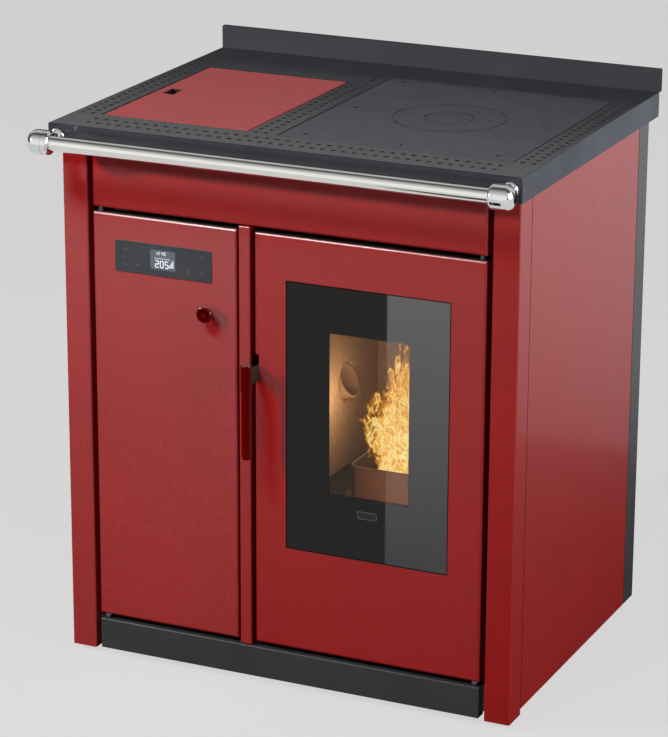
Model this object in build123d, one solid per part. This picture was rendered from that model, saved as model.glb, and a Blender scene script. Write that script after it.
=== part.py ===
"""Pellet cookstove with a hopper lid, a cooking plate, a service door and a glazed fire door.

Millimetres. +Z is up and the front faces -Y. The construction frame has y = 0 on the front face of the
pillars and x = 0 on the middle of the worktop. The last section moves every piece so that the origin lies
on the floor under the middle of the whole box.
"""
import math
import os

from build123d import *

# Worktop
worktop_width = 800.0
worktop_depth = 613.0
worktop_height = 900.0
worktop_sheet = 3.0
worktop_edge_radius = 2.0
skirt_height = 40.0
overhang_front = 24.0
overhang_side = 11.0

# Vent holes in the worktop
vent_diameter = 8.5
vent_row_count = 40
vent_row_pitch = 17.6
vent_row_inset = 29.5
vent_row_spacing = 25.5
vent_column_pitch = 20.0
vent_column_spacing = 18.0
vent_column_inset = 15.5
vent_column_start = 86.0
lid_column_count = 20
plate_column_count = 23

# Rear upstand
upstand_height = 38.0
upstand_thickness = 10.0
upstand_sheet = 2.0
upstand_flange = 34.0

# Cooking plate and the frame that carries it
plate_thickness = 6.0
plate_left_offset = 31.5
plate_right_inset = 48.0
plate_front_inset = 81.5
plate_rear_inset = 90.5
plate_gap = 2.5
plate_recess = 0.5
ring_outer_radius = 91.0
ring_inner_radius = 39.5
ring_groove_width = 2.0
ring_groove_depth = 1.0
plate_screw_inset_x = 34.0
plate_screw_inset_y = 26.0
plate_screw_diameter = 5.0
plate_screw_head = 8.0
plate_screw_head_height = 1.2
plate_screw_clearance = 0.2
plate_seat = 18.0
plate_frame_depth = 8.0
plate_frame_rim = 9.0

# Hopper lid and its hinge
lid_left_inset = 53.0
lid_right_offset = 24.0
lid_front_inset = 87.0
lid_rear_inset = 154.0
lid_gap = 3.0
lid_sheet = 2.0
lid_flange = 14.0
lid_axis_inset = 12.0
lid_axis_drop = 6.0
lid_pin_diameter = 6.0
lid_bracket_width = 15.0
lid_bracket_depth = 8.0
finger_hole_width = 20.5
finger_hole_depth = 36.5
finger_hole_inset = 15.5

# Body
rear_overhang = 17.0
floor_gap = 8.0
panel_sheet = 2.0
door_thickness = 20.0
door_edge_radius = 4.0
door_rear_gap = 2.0
pillar_face = 43.5
pillar_return = 47.0
pillar_edge_radius = 3.0
pillar_gap = 9.5
panel_joint = 2.0
side_panel_flange = 15.0
side_panel_lift = 9.5
rear_post_side = 44.0
rear_post_return = 49.0
mullion_x = -69.5
mullion_width = 19.0
mullion_end_gap = 1.5
plinth_lift = 2.0
plinth_height = 52.5
fascia_height = 128.5
fascia_gap = 8.0
fascia_top_gap = 3.0
crossbar_height = 40.0
crossbar_depth = 18.0
crossbar_drop = 57.0
back_panel_overlap = 32.0
back_panel_top_gap = 7.0

# Base tray and levelling feet
tray_sheet = 3.0
tray_lift = 6.0
tray_height = 46.0
foot_pad_diameter = 40.0
foot_pad_height = 6.0
foot_nut_diameter = 22.0
foot_stem_diameter = 10.0
foot_stem_length = 24.0
foot_stem_clearance = 0.5
foot_inset_x = 54.0
foot_inset_front = 58.0
foot_inset_rear = 60.0

# Handrail
rail_diameter = 24.0
rail_wall = 1.5
rail_standoff = 46.0
rail_overhang = 8.0
rail_socket = 18.0
rail_socket_clearance = 0.05
barrel_diameter = 40.0
barrel_length = 41.0
barrel_outer_radius = 17.0
barrel_inner_radius = 7.0
barrel_seam_inset = 11.0
barrel_seam_width = 1.0
rail_stem_diameter = 16.0
rail_stem_inset = 18.0
rosette_diameter = 26.0
rosette_thickness = 6.0
rosette_edge_radius = 2.5

# Doors and their hinges
door_bottom_gap = 9.0
service_gap = 4.0
fire_gap = 8.5
door_lip = 20.0
hinge_inset = 10.0
hinge_pin_diameter = 8.0
hinge_clearance = 0.05
hinge_collar_diameter = 12.0
hinge_collar_height = 5.5
hinge_hole_diameter = 10.0
hinge_bush_diameter = 13.0
hinge_bush_length = 22.0
hinge_lug_width = 14.0
hinge_lug_thickness = 4.0
hinge_lug_gap = 1.5
hinge_leg_thickness = 3.0
hinge_leg_height = 46.0

# Control panel, display and knob on the service door
control_height = 51.5
control_left_margin = 39.5
control_right_margin = 42.5
control_top_margin = 41.0
control_lip = 3.0
control_proud = 1.0
control_body_depth = 12.0
control_corner_radius = 3.0
display_width = 44.0
display_height = 32.0
display_left = 63.0
display_top = 9.0
display_depth = 0.8
knob_diameter = 27.0
knob_head = 7.0
knob_stem_diameter = 14.0
knob_stem_length = 11.0
knob_edge_radius = 3.0
knob_edge_margin = 49.5
knob_drop = 141.0
knob_groove_radius = 9.5
knob_groove_width = 4.5
knob_groove_depth = 4.5
catch_width = 25.0
catch_height = 40.0
catch_depth = 14.0
catch_drop = 342.0
catch_gap = 0.3

# Fire door glass, frame and seals
glass_left_margin = 54.5
glass_right_margin = 57.0
glass_top_margin = 72.5
glass_bottom_margin = 171.5
glass_thickness = 4.0
glass_gap = 1.0
glass_recess = 0.5
gasket_width = 16.0
gasket_thickness = 2.0
gasket_inset = 2.0
frame_flange_rim = 5.0
frame_plate = 3.0
frame_window_inset = 27.0
rope_width = 12.0
rope_inset = 8.0
rope_gap = 0.5
rope_edge_radius = 3.0

# Fire door handle and latch
handle_diameter = 17.0
handle_collar_diameter = 18.5
handle_standoff = 38.0
handle_drop = 204.5
handle_collar_length = 44.0
handle_grip_length = 107.0
handle_cap_length = 5.0
handle_cap_diameter = 14.0
lever_thickness = 5.0
lever_slot_play = 1.0
lever_height = 24.0
lever_drop = 13.0
lever_pivot_depth = 10.0
lever_pivot_rise = 12.0
lever_slot_rise = 6.0
lever_pin_diameter = 8.0
lever_pin_length = 17.0
lever_tail_height = 12.0
lever_tail_drop = 8.0
lever_tail_length = 34.0
lever_window_height = 4.0
lever_window_length = 18.0
lever_boss_width = 10.0
lever_boss_height = 20.0
keeper_pin_diameter = 8.0
keeper_gap = 2.0
keeper_plate = 4.0
keeper_plate_size = 32.0
keeper_depth = 10.0

# Combustion chamber
chamber_wall = 4.0
chamber_left_gap = 21.5
chamber_right_gap = 44.0
chamber_rear_space = 168.0
chamber_floor = 120.0
chamber_top_gap = 10.0
chamber_front_gap = 8.0
smoke_box_setback = 22.0
smoke_box_rear = 90.0
smoke_box_overlap = 30.0
mouth_side = 35.0
mouth_bottom_rise = 8.0
mouth_top_drop = 67.5
hearth_top = 300.0
hearth_sheet = 4.0
duct_width = 110.0
duct_depth = 40.0
duct_bottom = 180.0
lining_thickness = 20.0
lining_top_rise = 10.0
lining_front_gap = 4.0
baffle_thickness = 15.0
baffle_front_gap = 78.0

# Burn pot and igniter
pot_width = 180.0
pot_depth = 120.0
pot_height = 93.0
pot_wall = 4.0
pot_drop = 38.0
pot_flange = 10.0
pot_corner_radius = 18.0
pot_clearance = 1.0
pot_front_setback = 78.0
pot_hole_diameter = 8.0
pot_hole_pitch = 30.0
igniter_diameter = 18.0
igniter_clearance = 0.2
igniter_offset_x = 70.0
igniter_drop = 19.0
igniter_gap = 2.0
igniter_tail = 30.0
igniter_collar = 28.0
igniter_collar_length = 6.0

# Ash drawer
ash_side_gap = 15.0
ash_rear_gap = 28.0
ash_height = 94.0
ash_sheet = 2.0
ash_front_gap = 6.0
ash_pull_width = 120.0
ash_pull_depth = 5.0
ash_pull_drop = 10.0

# Pellet hopper
hopper_sheet = 2.0
hopper_rim_outset = 6.0
hopper_mouth_inset = 9.0
hopper_right_inset = 31.5
hopper_straight = 244.0
hopper_outlet = 60.0
hopper_neck = 4.0

# Auger
auger_angle = 25.0
auger_reach = 30.0
auger_rise = 150.0
auger_tube_diameter = 60.0
auger_tube_wall = 3.0
auger_side_gap = 75.0
auger_clearance = 2.0
auger_shaft_diameter = 14.0
auger_bearing_clearance = 0.05
auger_flight_thickness = 3.0
auger_pitch = 40.0
auger_end_setback = 30.0
auger_hole_clearance = 1.0
auger_flange_size = 100.0
auger_flange_thickness = 4.0
gearmotor_diameter = 70.0
gearmotor_length = 55.0

# Smoke fan, flue spigot and air inlet
fan_rise = 60.0
fan_case_diameter = 180.0
fan_case_depth = 55.0
fan_case_wall = 3.0
fan_inlet_diameter = 80.0
fan_outlet_margin = 5.0
fan_outlet_height = 94.0
fan_outlet_drop = 92.0
impeller_diameter = 130.0
impeller_plate = 3.0
impeller_blade_height = 24.0
impeller_blade_count = 10
impeller_blade_thickness = 2.5
impeller_hub_diameter = 28.0
impeller_gap = 5.0
fan_shaft_diameter = 8.0
fan_shaft_clearance = 0.05
fan_shaft_reach = 20.0
fan_motor_diameter = 90.0
fan_motor_length = 55.0
flue_diameter = 80.0
flue_wall = 2.0
flue_post_gap = 17.0
flue_drop = 45.0
flue_projection = 40.0
flue_flange_diameter = 96.0
flue_flange_thickness = 3.0
spigot_hole_clearance = 1.0
spigot_bead_thickness = 3.0
spigot_bead_rim = 8.0
air_diameter = 50.0
air_wall = 1.5
air_inset = 50.0
air_rise = 90.0
air_projection = 33.0

# Control box, power inlet and rocker switch
board_width = 180.0
board_height = 140.0
board_depth = 40.0
board_side_gap = 44.0
board_z = 190.0
inlet_width = 88.0
inlet_height = 32.0
inlet_depth = 17.0
inlet_proud = 3.0
inlet_side_gap = 50.0
inlet_z = 100.0
socket_width = 28.0
socket_height = 20.0
socket_depth = 14.0
socket_margin = 10.0
rocker_width = 18.0
rocker_height = 17.0
rocker_depth = 9.0
rocker_play = 1.5
rocker_margin = 8.0
rocker_proud = 2.0
rocker_pin_diameter = 3.0
rocker_pin_length = 2.0

# Planes and places worked out from the sizes above
half_top = worktop_width / 2
top_front = -overhang_front
top_rear = top_front + worktop_depth
under_top = worktop_height - worktop_sheet
skirt_bottom = worktop_height - skirt_height
body_half = half_top - overhang_side
body_depth = top_rear - rear_overhang
frame_front = door_thickness + door_rear_gap
pillar_inner = body_half - pillar_face
face_half = pillar_inner - pillar_gap
mullion_left = mullion_x - mullion_width / 2
mullion_right = mullion_x + mullion_width / 2
plinth_bottom = floor_gap + plinth_lift
plinth_top = plinth_bottom + plinth_height
door_bottom = plinth_top + door_bottom_gap
fascia_top = under_top - fascia_top_gap
fascia_bottom = fascia_top - fascia_height
door_top = fascia_bottom - fascia_gap
service_left = -face_half
service_right = mullion_left - service_gap
fire_left = mullion_right + fire_gap
fire_right = face_half
hinge_x = face_half - hinge_inset
tray_half = body_half - side_panel_flange
tray_bottom = floor_gap + tray_lift
tray_top = tray_bottom + tray_height
tray_floor = tray_bottom + tray_sheet
tray_rear = body_depth - panel_sheet
crossbar_top = under_top - crossbar_drop
crossbar_bottom = crossbar_top - crossbar_height
back_inner = tray_rear - panel_sheet
rail_y = top_front - rail_standoff
rail_z = worktop_height - skirt_height / 2
rail_end = half_top + rail_overhang
barrel_start = rail_end - barrel_length
lid_left = -half_top + lid_left_inset
lid_right = mullion_x - lid_right_offset
lid_front = top_front + lid_front_inset
lid_rear = top_rear - lid_rear_inset
lid_axis_x = lid_right - lid_axis_inset
lid_axis_z = worktop_height - lid_axis_drop
lid_bottom = worktop_height - lid_flange
plate_left = mullion_x + plate_left_offset
plate_right = half_top - plate_right_inset
plate_center_x = (plate_left + plate_right) / 2
plate_front = top_front + plate_front_inset
plate_rear = top_rear - plate_rear_inset
plate_top = worktop_height - plate_recess
plate_under = plate_top - plate_thickness
plate_frame_under = plate_under - plate_frame_depth
glass_left = fire_left + glass_left_margin
glass_right = fire_right - glass_right_margin
glass_top = door_top - glass_top_margin
glass_bottom = door_bottom + glass_bottom_margin
glass_rear = glass_recess + glass_thickness
gasket_rear = glass_rear + gasket_thickness
frame_plate_front = door_thickness - frame_plate
chamber_left = fire_left + chamber_left_gap
chamber_right = tray_half - chamber_right_gap
chamber_center_x = (chamber_left + chamber_right) / 2
chamber_front = door_thickness + chamber_front_gap
chamber_rear = back_inner - chamber_rear_space
chamber_step = crossbar_bottom - chamber_top_gap
smoke_box_floor = chamber_step - smoke_box_overlap
smoke_front = chamber_front + smoke_box_setback
smoke_rear = chamber_rear + smoke_box_rear
mouth_left = chamber_left + mouth_side
mouth_right = chamber_right - mouth_side
mouth_top = door_top - mouth_top_drop
mouth_bottom = chamber_floor + mouth_bottom_rise
inner_left = chamber_left + chamber_wall
inner_right = chamber_right - chamber_wall
inner_front = chamber_front + chamber_wall
inner_rear = chamber_rear - chamber_wall
duct_rear = chamber_rear + duct_depth
lining_top = mouth_top + lining_top_rise
pot_left = chamber_center_x - pot_width / 2
pot_front = inner_front + pot_front_setback
pot_rear = pot_front + pot_depth
pot_bottom = hearth_top - pot_drop
handle_x = fire_left + lever_slot_play + lever_thickness / 2
handle_top = door_top - handle_drop
lever_slot_top = handle_top + lever_slot_rise
handle_bottom = handle_top - handle_collar_length - handle_grip_length - handle_cap_length
lever_top = handle_top - lever_drop
lever_bottom = lever_top - lever_height
lever_pivot_z = lever_bottom + lever_pivot_rise
lever_right = handle_x + lever_thickness / 2
fan_front = duct_rear
fan_rear = fan_front + fan_case_depth
fan_x = chamber_center_x
fan_z = duct_bottom + fan_rise
flue_x = body_half - rear_post_return - flue_post_gap - flue_diameter / 2 - spigot_bead_rim
flue_z = fan_z - flue_drop
fan_outlet_right = flue_x + flue_diameter / 2 + fan_outlet_margin
air_x = chamber_left + air_inset
air_z = chamber_floor + air_rise
flue_end = body_depth + flue_projection
air_end = body_depth + air_projection
hopper_left = lid_left + hopper_mouth_inset
hopper_right = lid_right - hopper_right_inset
hopper_front = lid_front + hopper_mouth_inset
hopper_rear = lid_rear - hopper_mouth_inset
hopper_x = (hopper_left + hopper_right) / 2
hopper_bend = lid_bottom - hopper_straight


def block(x0, x1, y0, y1, z0, z1):
    """A box between two corners."""
    return Pos((x0 + x1) / 2, (y0 + y1) / 2, (z0 + z1) / 2) * Box(x1 - x0, y1 - y0, z1 - z0)


def rod_x(x0, x1, y, z, radius):
    """A round bar along X."""
    return Pos((x0 + x1) / 2, y, z) * Rot(0, 90, 0) * Cylinder(radius, x1 - x0)


def rod_y(x, y0, y1, z, radius):
    """A round bar along Y."""
    return Pos(x, (y0 + y1) / 2, z) * Rot(90, 0, 0) * Cylinder(radius, y1 - y0)


def rod_z(x, y, z0, z1, radius):
    """A round bar along Z."""
    return Pos(x, y, (z0 + z1) / 2) * Cylinder(radius, z1 - z0)


def front_rounded(solid, radius):
    """Rounds the edges of a solid's front face."""
    return fillet(solid.faces().sort_by(Axis.Y)[0].edges(), radius)


def front_pan(x0, x1, z0, z1, depth, radius):
    """A folded sheet cover with a rounded front face and an open back."""
    outer = front_rounded(block(x0, x1, 0, depth, z0, z1), radius)
    hollow = block(x0 + panel_sheet, x1 - panel_sheet, panel_sheet, depth,
                   z0 + panel_sheet, z1 - panel_sheet)
    return outer - hollow


def ring_frame(x0, x1, y0, y1, z0, z1, width):
    """A flat rectangular ring that faces the front."""
    return block(x0, x1, y0, y1, z0, z1) - block(x0 + width, x1 - width, y0, y1, z0 + width, z1 - width)


def grouped(solids):
    """Separate like solids kept in one node."""
    return Compound(children=[solid for solid in solids])


pieces = {}


# Worktop: one folded sheet with a skirt, two cut-outs and rows of vent holes
def vent_places():
    """Centres of every vent hole."""
    places = []
    first_x = -vent_row_pitch * (vent_row_count - 1) / 2
    for row in range(2):
        y = top_front + vent_row_inset + row * vent_row_spacing
        places += [(first_x + i * vent_row_pitch, y) for i in range(vent_row_count)]
    outer_x = half_top - vent_column_inset
    columns = [(-outer_x, lid_column_count),
               (-outer_x + vent_column_spacing, lid_column_count),
               (mullion_x - vent_column_spacing / 2, lid_column_count),
               (mullion_x + vent_column_spacing / 2, plate_column_count),
               (outer_x - vent_column_spacing, plate_column_count),
               (outer_x, plate_column_count)]
    for x, count in columns:
        places += [(x, top_front + vent_column_start + i * vent_column_pitch) for i in range(count)]
    return places


worktop = block(-half_top, half_top, top_front, top_rear, skirt_bottom, worktop_height)
worktop = fillet(worktop.edges().filter_by(Axis.Z) + worktop.faces().sort_by(Axis.Z)[-1].edges(),
                 worktop_edge_radius)
worktop -= block(-half_top + worktop_sheet, half_top - worktop_sheet, top_front + worktop_sheet,
                 top_rear - worktop_sheet, skirt_bottom, under_top)
worktop -= block(lid_left - lid_gap, lid_right + lid_gap, lid_front - lid_gap, lid_rear + lid_gap,
                 under_top, worktop_height)
worktop -= block(plate_left - plate_gap, plate_right + plate_gap, plate_front - plate_gap,
                 plate_rear + plate_gap, under_top, worktop_height)
vent_sketch = Sketch() + [Pos(x, y) * Circle(vent_diameter / 2) for x, y in vent_places()]
worktop -= Pos(0, 0, under_top) * extrude(vent_sketch, worktop_sheet)
pieces["worktop"] = worktop

# Rear upstand: a folded box strip whose front wall hangs behind the rear skirt
upstand_top = worktop_height + upstand_height
upstand = block(-half_top, half_top, top_rear, top_rear + upstand_thickness, worktop_height, upstand_top)
upstand = fillet(upstand.faces().sort_by(Axis.Z)[-1].edges(), upstand_sheet / 2)
upstand -= block(-half_top + upstand_sheet, half_top - upstand_sheet, top_rear + upstand_sheet,
                 top_rear + upstand_thickness - upstand_sheet, worktop_height, upstand_top - upstand_sheet)
upstand += block(-half_top + worktop_edge_radius, half_top - worktop_edge_radius, top_rear,
                 top_rear + upstand_sheet, worktop_height - upstand_flange, worktop_height)
pieces["rear_upstand"] = upstand

# Cooking plate: flat steel with two engraved rings, screwed to a frame below
plate_screw_places = [(x, y)
                      for x in (plate_left + plate_screw_inset_x, plate_center_x,
                                plate_right - plate_screw_inset_x)
                      for y in (plate_front + plate_screw_inset_y, (plate_front + plate_rear) / 2,
                                plate_rear - plate_screw_inset_y)
                      if (x, y) != (plate_center_x, (plate_front + plate_rear) / 2)]
plate = block(plate_left, plate_right, plate_front, plate_rear, plate_under, plate_top)
for radius in (ring_outer_radius, ring_inner_radius):
    groove = Circle(radius + ring_groove_width / 2) - Circle(radius - ring_groove_width / 2)
    plate -= Pos(plate_center_x, (plate_front + plate_rear) / 2, plate_top - ring_groove_depth) * extrude(
        groove, ring_groove_depth)
for x, y in plate_screw_places:
    plate -= rod_z(x, y, plate_under, plate_top, plate_screw_diameter / 2 + plate_screw_clearance)
pieces["cooking_plate"] = plate

frame_hollow = (plate_left + plate_seat + plate_screw_inset_x,
                plate_right - plate_seat - plate_screw_inset_x,
                plate_front + plate_seat + plate_screw_inset_y, plate_rear - plate_seat - plate_screw_inset_y)
plate_frame = block(plate_left - plate_gap - plate_frame_rim, plate_right + plate_gap + plate_frame_rim / 2,
                    plate_front - plate_gap - plate_frame_rim, plate_rear + plate_gap + plate_frame_rim,
                    plate_frame_under, under_top)
plate_frame -= block(plate_left - plate_gap, plate_right + plate_gap, plate_front - plate_gap,
                     plate_rear + plate_gap, plate_under, under_top)
plate_frame -= block(*frame_hollow, plate_frame_under, under_top)
for x, y in plate_screw_places:
    plate_frame -= rod_z(x, y, plate_frame_under, plate_under,
                         plate_screw_diameter / 2 + plate_screw_clearance)
pieces["plate_frame"] = plate_frame

plate_screws = []
for x, y in plate_screw_places:
    screw = rod_z(x, y, plate_frame_under, plate_top, plate_screw_diameter / 2)
    screw += rod_z(x, y, plate_top, plate_top + plate_screw_head_height, plate_screw_head / 2)
    plate_screws.append(screw)
pieces["plate_screws"] = grouped(plate_screws)

# Front pillars: folded channels, open at the back
for name, side in (("left_front_pillar", -1), ("right_front_pillar", 1)):
    pillar = block(pillar_inner, body_half, 0, pillar_return, floor_gap, under_top)
    front_verticals = pillar.edges().filter_by(Axis.Z).group_by(Axis.Y)[0]
    pillar = fillet(front_verticals, pillar_edge_radius)
    pillar -= block(pillar_inner + panel_sheet, body_half - panel_sheet, panel_sheet, pillar_return,
                    floor_gap, under_top)
    pillar -= block(pillar_inner, pillar_inner + panel_sheet, frame_front, pillar_return, floor_gap,
                    under_top)
    pieces[name] = pillar if side > 0 else mirror(pillar, about=Plane.YZ)

# Side panels and rear corner posts
side_bottom = floor_gap + side_panel_lift
side_front = pillar_return + panel_joint
post_front = body_depth - rear_post_side
side_rear = post_front - panel_joint
for prefix, side in (("left", -1), ("right", 1)):
    panel = block(tray_half, body_half, side_front, side_rear, side_bottom, under_top)
    panel -= block(tray_half, body_half - panel_sheet, side_front + panel_sheet, side_rear - panel_sheet,
                   side_bottom + panel_sheet, under_top - panel_sheet)
    post = block(body_half - panel_sheet, body_half, post_front, body_depth, side_bottom, under_top)
    post += block(body_half - rear_post_return, body_half, body_depth - panel_sheet, body_depth,
                  side_bottom, under_top)
    pieces[prefix + "_side_panel"] = panel if side > 0 else mirror(panel, about=Plane.YZ)
    pieces[prefix + "_rear_post"] = post if side > 0 else mirror(post, about=Plane.YZ)

# Fascia, plinth, mullion and the bars and walls that carry them
fascia = front_pan(-face_half, face_half, fascia_bottom, fascia_top, frame_front, door_edge_radius)
plinth = front_pan(-face_half, face_half, plinth_bottom, plinth_top, frame_front, panel_sheet)
for side in (-1, 1):
    fascia -= rod_z(side * hinge_x, hinge_inset, fascia_bottom, fascia_bottom + panel_sheet,
                    hinge_hole_diameter / 2)
    plinth -= rod_z(side * hinge_x, hinge_inset, plinth_top - panel_sheet, plinth_top,
                    hinge_hole_diameter / 2)
pieces["fascia_panel"] = fascia
pieces["plinth"] = plinth
pieces["centre_mullion"] = front_pan(mullion_left, mullion_right, plinth_top + mullion_end_gap,
                                     fascia_bottom - mullion_end_gap, frame_front, panel_sheet)

crossbar_half = body_half - panel_sheet
crossbar = block(-crossbar_half, crossbar_half, frame_front, frame_front + crossbar_depth,
                 crossbar_bottom, crossbar_top)
crossbar_hollow = block(-crossbar_half, crossbar_half, frame_front + panel_sheet,
                        frame_front + crossbar_depth - panel_sheet, crossbar_bottom + panel_sheet,
                        crossbar_top - panel_sheet)
pieces["front_crossbar"] = crossbar - crossbar_hollow

tray = block(-tray_half, tray_half, frame_front, tray_rear, tray_bottom, tray_top)
tray -= block(-tray_half + tray_sheet, tray_half - tray_sheet, frame_front + tray_sheet,
              tray_rear - tray_sheet, tray_floor, tray_top)
foot_places = [(x, y) for x in (-tray_half + foot_inset_x, tray_half - foot_inset_x)
               for y in (frame_front + foot_inset_front, tray_rear - foot_inset_rear)]
feet = []
for x, y in foot_places:
    tray -= rod_z(x, y, tray_bottom, tray_floor, foot_stem_diameter / 2 + foot_stem_clearance)
    foot = rod_z(x, y, 0, foot_pad_height, foot_pad_diameter / 2)
    foot += rod_z(x, y, foot_pad_height, tray_bottom, foot_nut_diameter / 2)
    foot += rod_z(x, y, foot_pad_height, foot_pad_height + foot_stem_length, foot_stem_diameter / 2)
    feet.append(foot)
pieces["base_tray"] = tray
pieces["levelling_feet"] = grouped(feet)

# Auger axis, shared by the tube, the screw, the gearmotor and the walls that the tube passes
auger_end_x = chamber_left + auger_reach
auger_y = (lid_front + lid_rear) / 2
auger_end_z = hearth_top + auger_rise
auger_tube_length = (auger_end_x + tray_half - auger_side_gap) / math.cos(math.radians(auger_angle))
auger_direction = Vector(math.cos(math.radians(auger_angle)), 0, math.sin(math.radians(auger_angle)))
auger_plane = Plane(origin=(auger_end_x, auger_y, auger_end_z), x_dir=(0, 1, 0), z_dir=auger_direction)


def along_auger(start, end, radius):
    """A round bar on the auger's axis, with distances measured back from its upper end."""
    return auger_plane * Pos(0, 0, -(start + end) / 2) * Cylinder(radius, end - start)


auger_passage = along_auger(-auger_tube_diameter, auger_tube_length,
                            auger_tube_diameter / 2 + auger_hole_clearance)

divider = block(mullion_x - panel_sheet / 2, mullion_x + panel_sheet / 2, frame_front, back_inner,
                tray_floor, under_top)
divider += block(mullion_left, mullion_right, frame_front, frame_front + panel_sheet, tray_top,
                 crossbar_bottom)
divider -= block(mullion_left, mullion_right, frame_front, frame_front + tray_sheet, tray_floor, tray_top)
divider -= block(mullion_left, mullion_right, tray_rear - tray_sheet, tray_rear, tray_floor, tray_top)
divider -= crossbar
divider -= auger_passage
pieces["divider_wall"] = divider

# Combustion chamber: a welded steel box with a hearth, a smoke box under the plate and a smoke duct behind
chamber = block(chamber_left, chamber_right, chamber_front, chamber_rear, tray_floor, chamber_step)
chamber += block(chamber_left, chamber_right, smoke_front, smoke_rear, smoke_box_floor, plate_frame_under)
chamber += block(chamber_center_x - duct_width / 2, chamber_center_x + duct_width / 2, chamber_rear,
                 duct_rear, duct_bottom, smoke_box_floor)
chamber -= block(inner_left, inner_right, inner_front, inner_rear, tray_floor, chamber_floor)
chamber -= block(inner_left, inner_right, inner_front, inner_rear, chamber_floor + chamber_wall,
                 hearth_top - hearth_sheet)
chamber -= block(inner_left, inner_right, inner_front, inner_rear, hearth_top, chamber_step - chamber_wall)
chamber -= block(inner_left, inner_right, smoke_front + chamber_wall, smoke_rear - chamber_wall,
                 smoke_box_floor + chamber_wall, plate_frame_under)
chamber -= block(chamber_center_x - duct_width / 2 + chamber_wall,
                 chamber_center_x + duct_width / 2 - chamber_wall,
                 chamber_rear, duct_rear - chamber_wall, duct_bottom + chamber_wall,
                 smoke_box_floor + chamber_wall)
chamber -= block(mouth_left, mouth_right, chamber_front, inner_front, mouth_bottom, mouth_top)
chamber -= rod_y(fan_x, duct_rear - chamber_wall, duct_rear, fan_z, fan_inlet_diameter / 2)
pot_hole = block(pot_left - pot_clearance, pot_left + pot_width + pot_clearance, pot_front - pot_clearance,
                 pot_rear + pot_clearance, hearth_top - hearth_sheet, hearth_top)
chamber -= fillet(pot_hole.edges().filter_by(Axis.Z), pot_corner_radius)
igniter_x = chamber_center_x - igniter_offset_x
igniter_z = hearth_top - igniter_drop
chamber -= rod_y(igniter_x, inner_rear, chamber_rear, igniter_z, igniter_diameter / 2 + igniter_clearance)
chamber -= rod_y(air_x, inner_rear, chamber_rear, air_z, air_diameter / 2 - air_wall)
chamber -= auger_passage
pieces["combustion_chamber"] = chamber

lining_boards = [
    block(inner_left, inner_left + lining_thickness, inner_front + lining_front_gap, inner_rear,
          hearth_top, lining_top) - auger_passage,
    block(inner_right - lining_thickness, inner_right, inner_front + lining_front_gap, inner_rear,
          hearth_top, lining_top),
    block(inner_left + lining_thickness, inner_right - lining_thickness, inner_rear - lining_thickness,
          inner_rear, hearth_top, lining_top)]
pieces["chamber_lining"] = grouped(lining_boards)
pieces["baffle_plate"] = block(inner_left + panel_sheet, inner_right - panel_sheet,
                               inner_front + baffle_front_gap, inner_rear - panel_sheet, lining_top,
                               lining_top + baffle_thickness)

# Burn pot: a cast cup that hangs in the hearth by its flange
pot = block(pot_left, pot_left + pot_width, pot_front, pot_rear, pot_bottom, pot_bottom + pot_height)
pot = fillet(pot.edges().filter_by(Axis.Z), pot_corner_radius)
flange = block(pot_left - pot_flange, pot_left + pot_width + pot_flange, pot_front - pot_flange,
               pot_rear + pot_flange, hearth_top, hearth_top + pot_wall)
pot += fillet(flange.edges().filter_by(Axis.Z), pot_corner_radius + pot_flange)
cup = block(pot_left + pot_wall, pot_left + pot_width - pot_wall, pot_front + pot_wall, pot_rear - pot_wall,
            pot_bottom + pot_wall, pot_bottom + pot_height)
pot -= fillet(cup.edges().filter_by(Axis.Z), pot_corner_radius - pot_wall)
pot_middle = (pot_front + pot_rear) / 2
for column in range(-2, 3):
    for row in range(-1, 2):
        pot -= rod_z(chamber_center_x + column * pot_hole_pitch, pot_middle + row * pot_hole_pitch,
                     pot_bottom, pot_bottom + pot_wall, pot_hole_diameter / 2)
pieces["burn_pot"] = pot

igniter = rod_y(igniter_x, pot_rear + igniter_gap, chamber_rear + igniter_tail, igniter_z,
                igniter_diameter / 2)
igniter += rod_y(igniter_x, chamber_rear, chamber_rear + igniter_collar_length, igniter_z,
                 igniter_collar / 2)
pieces["igniter"] = igniter

ash_floor = chamber_floor + chamber_wall
ash_front = inner_front + ash_front_gap
ash_left = mouth_left + ash_side_gap
ash_right = mouth_right - ash_side_gap
ash_rear = inner_rear - ash_rear_gap
ash = block(ash_left, ash_right, ash_front, ash_rear, ash_floor,
            ash_floor + ash_height)
ash -= block(ash_left + ash_sheet, ash_right - ash_sheet, ash_front + ash_sheet,
             ash_rear - ash_sheet, ash_floor + ash_sheet, ash_floor + ash_height)
ash_pull_top = ash_floor + ash_height - ash_pull_drop
ash += block(chamber_center_x - ash_pull_width / 2, chamber_center_x + ash_pull_width / 2,
             ash_front - ash_pull_depth, ash_front, ash_pull_top - ash_sheet, ash_pull_top)
pieces["ash_drawer"] = ash

# Pellet hopper: a sheet funnel hung from the underside of the worktop around the lid opening
rim_left = lid_left - lid_gap - hopper_rim_outset
rim_front = lid_front - lid_gap - hopper_rim_outset
rim_rear = lid_rear + lid_gap + hopper_rim_outset
hopper = block(rim_left, hopper_right, rim_front, rim_rear, lid_bottom - hopper_sheet, under_top)
hopper -= block(rim_left + hopper_sheet, hopper_right, rim_front + hopper_sheet, rim_rear - hopper_sheet,
                lid_bottom, under_top)
hopper += block(hopper_left, hopper_right, hopper_front, hopper_rear, hopper_bend,
                lid_bottom - hopper_sheet)
auger_slope = math.tan(math.radians(auger_angle))
tube_half_height = auger_tube_diameter / 2 / math.cos(math.radians(auger_angle))
outlet_rise = hopper_outlet / 2 * auger_slope + tube_half_height + hopper_neck
outlet_z = auger_end_z - (auger_end_x - hopper_x) * auger_slope + outlet_rise


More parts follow.
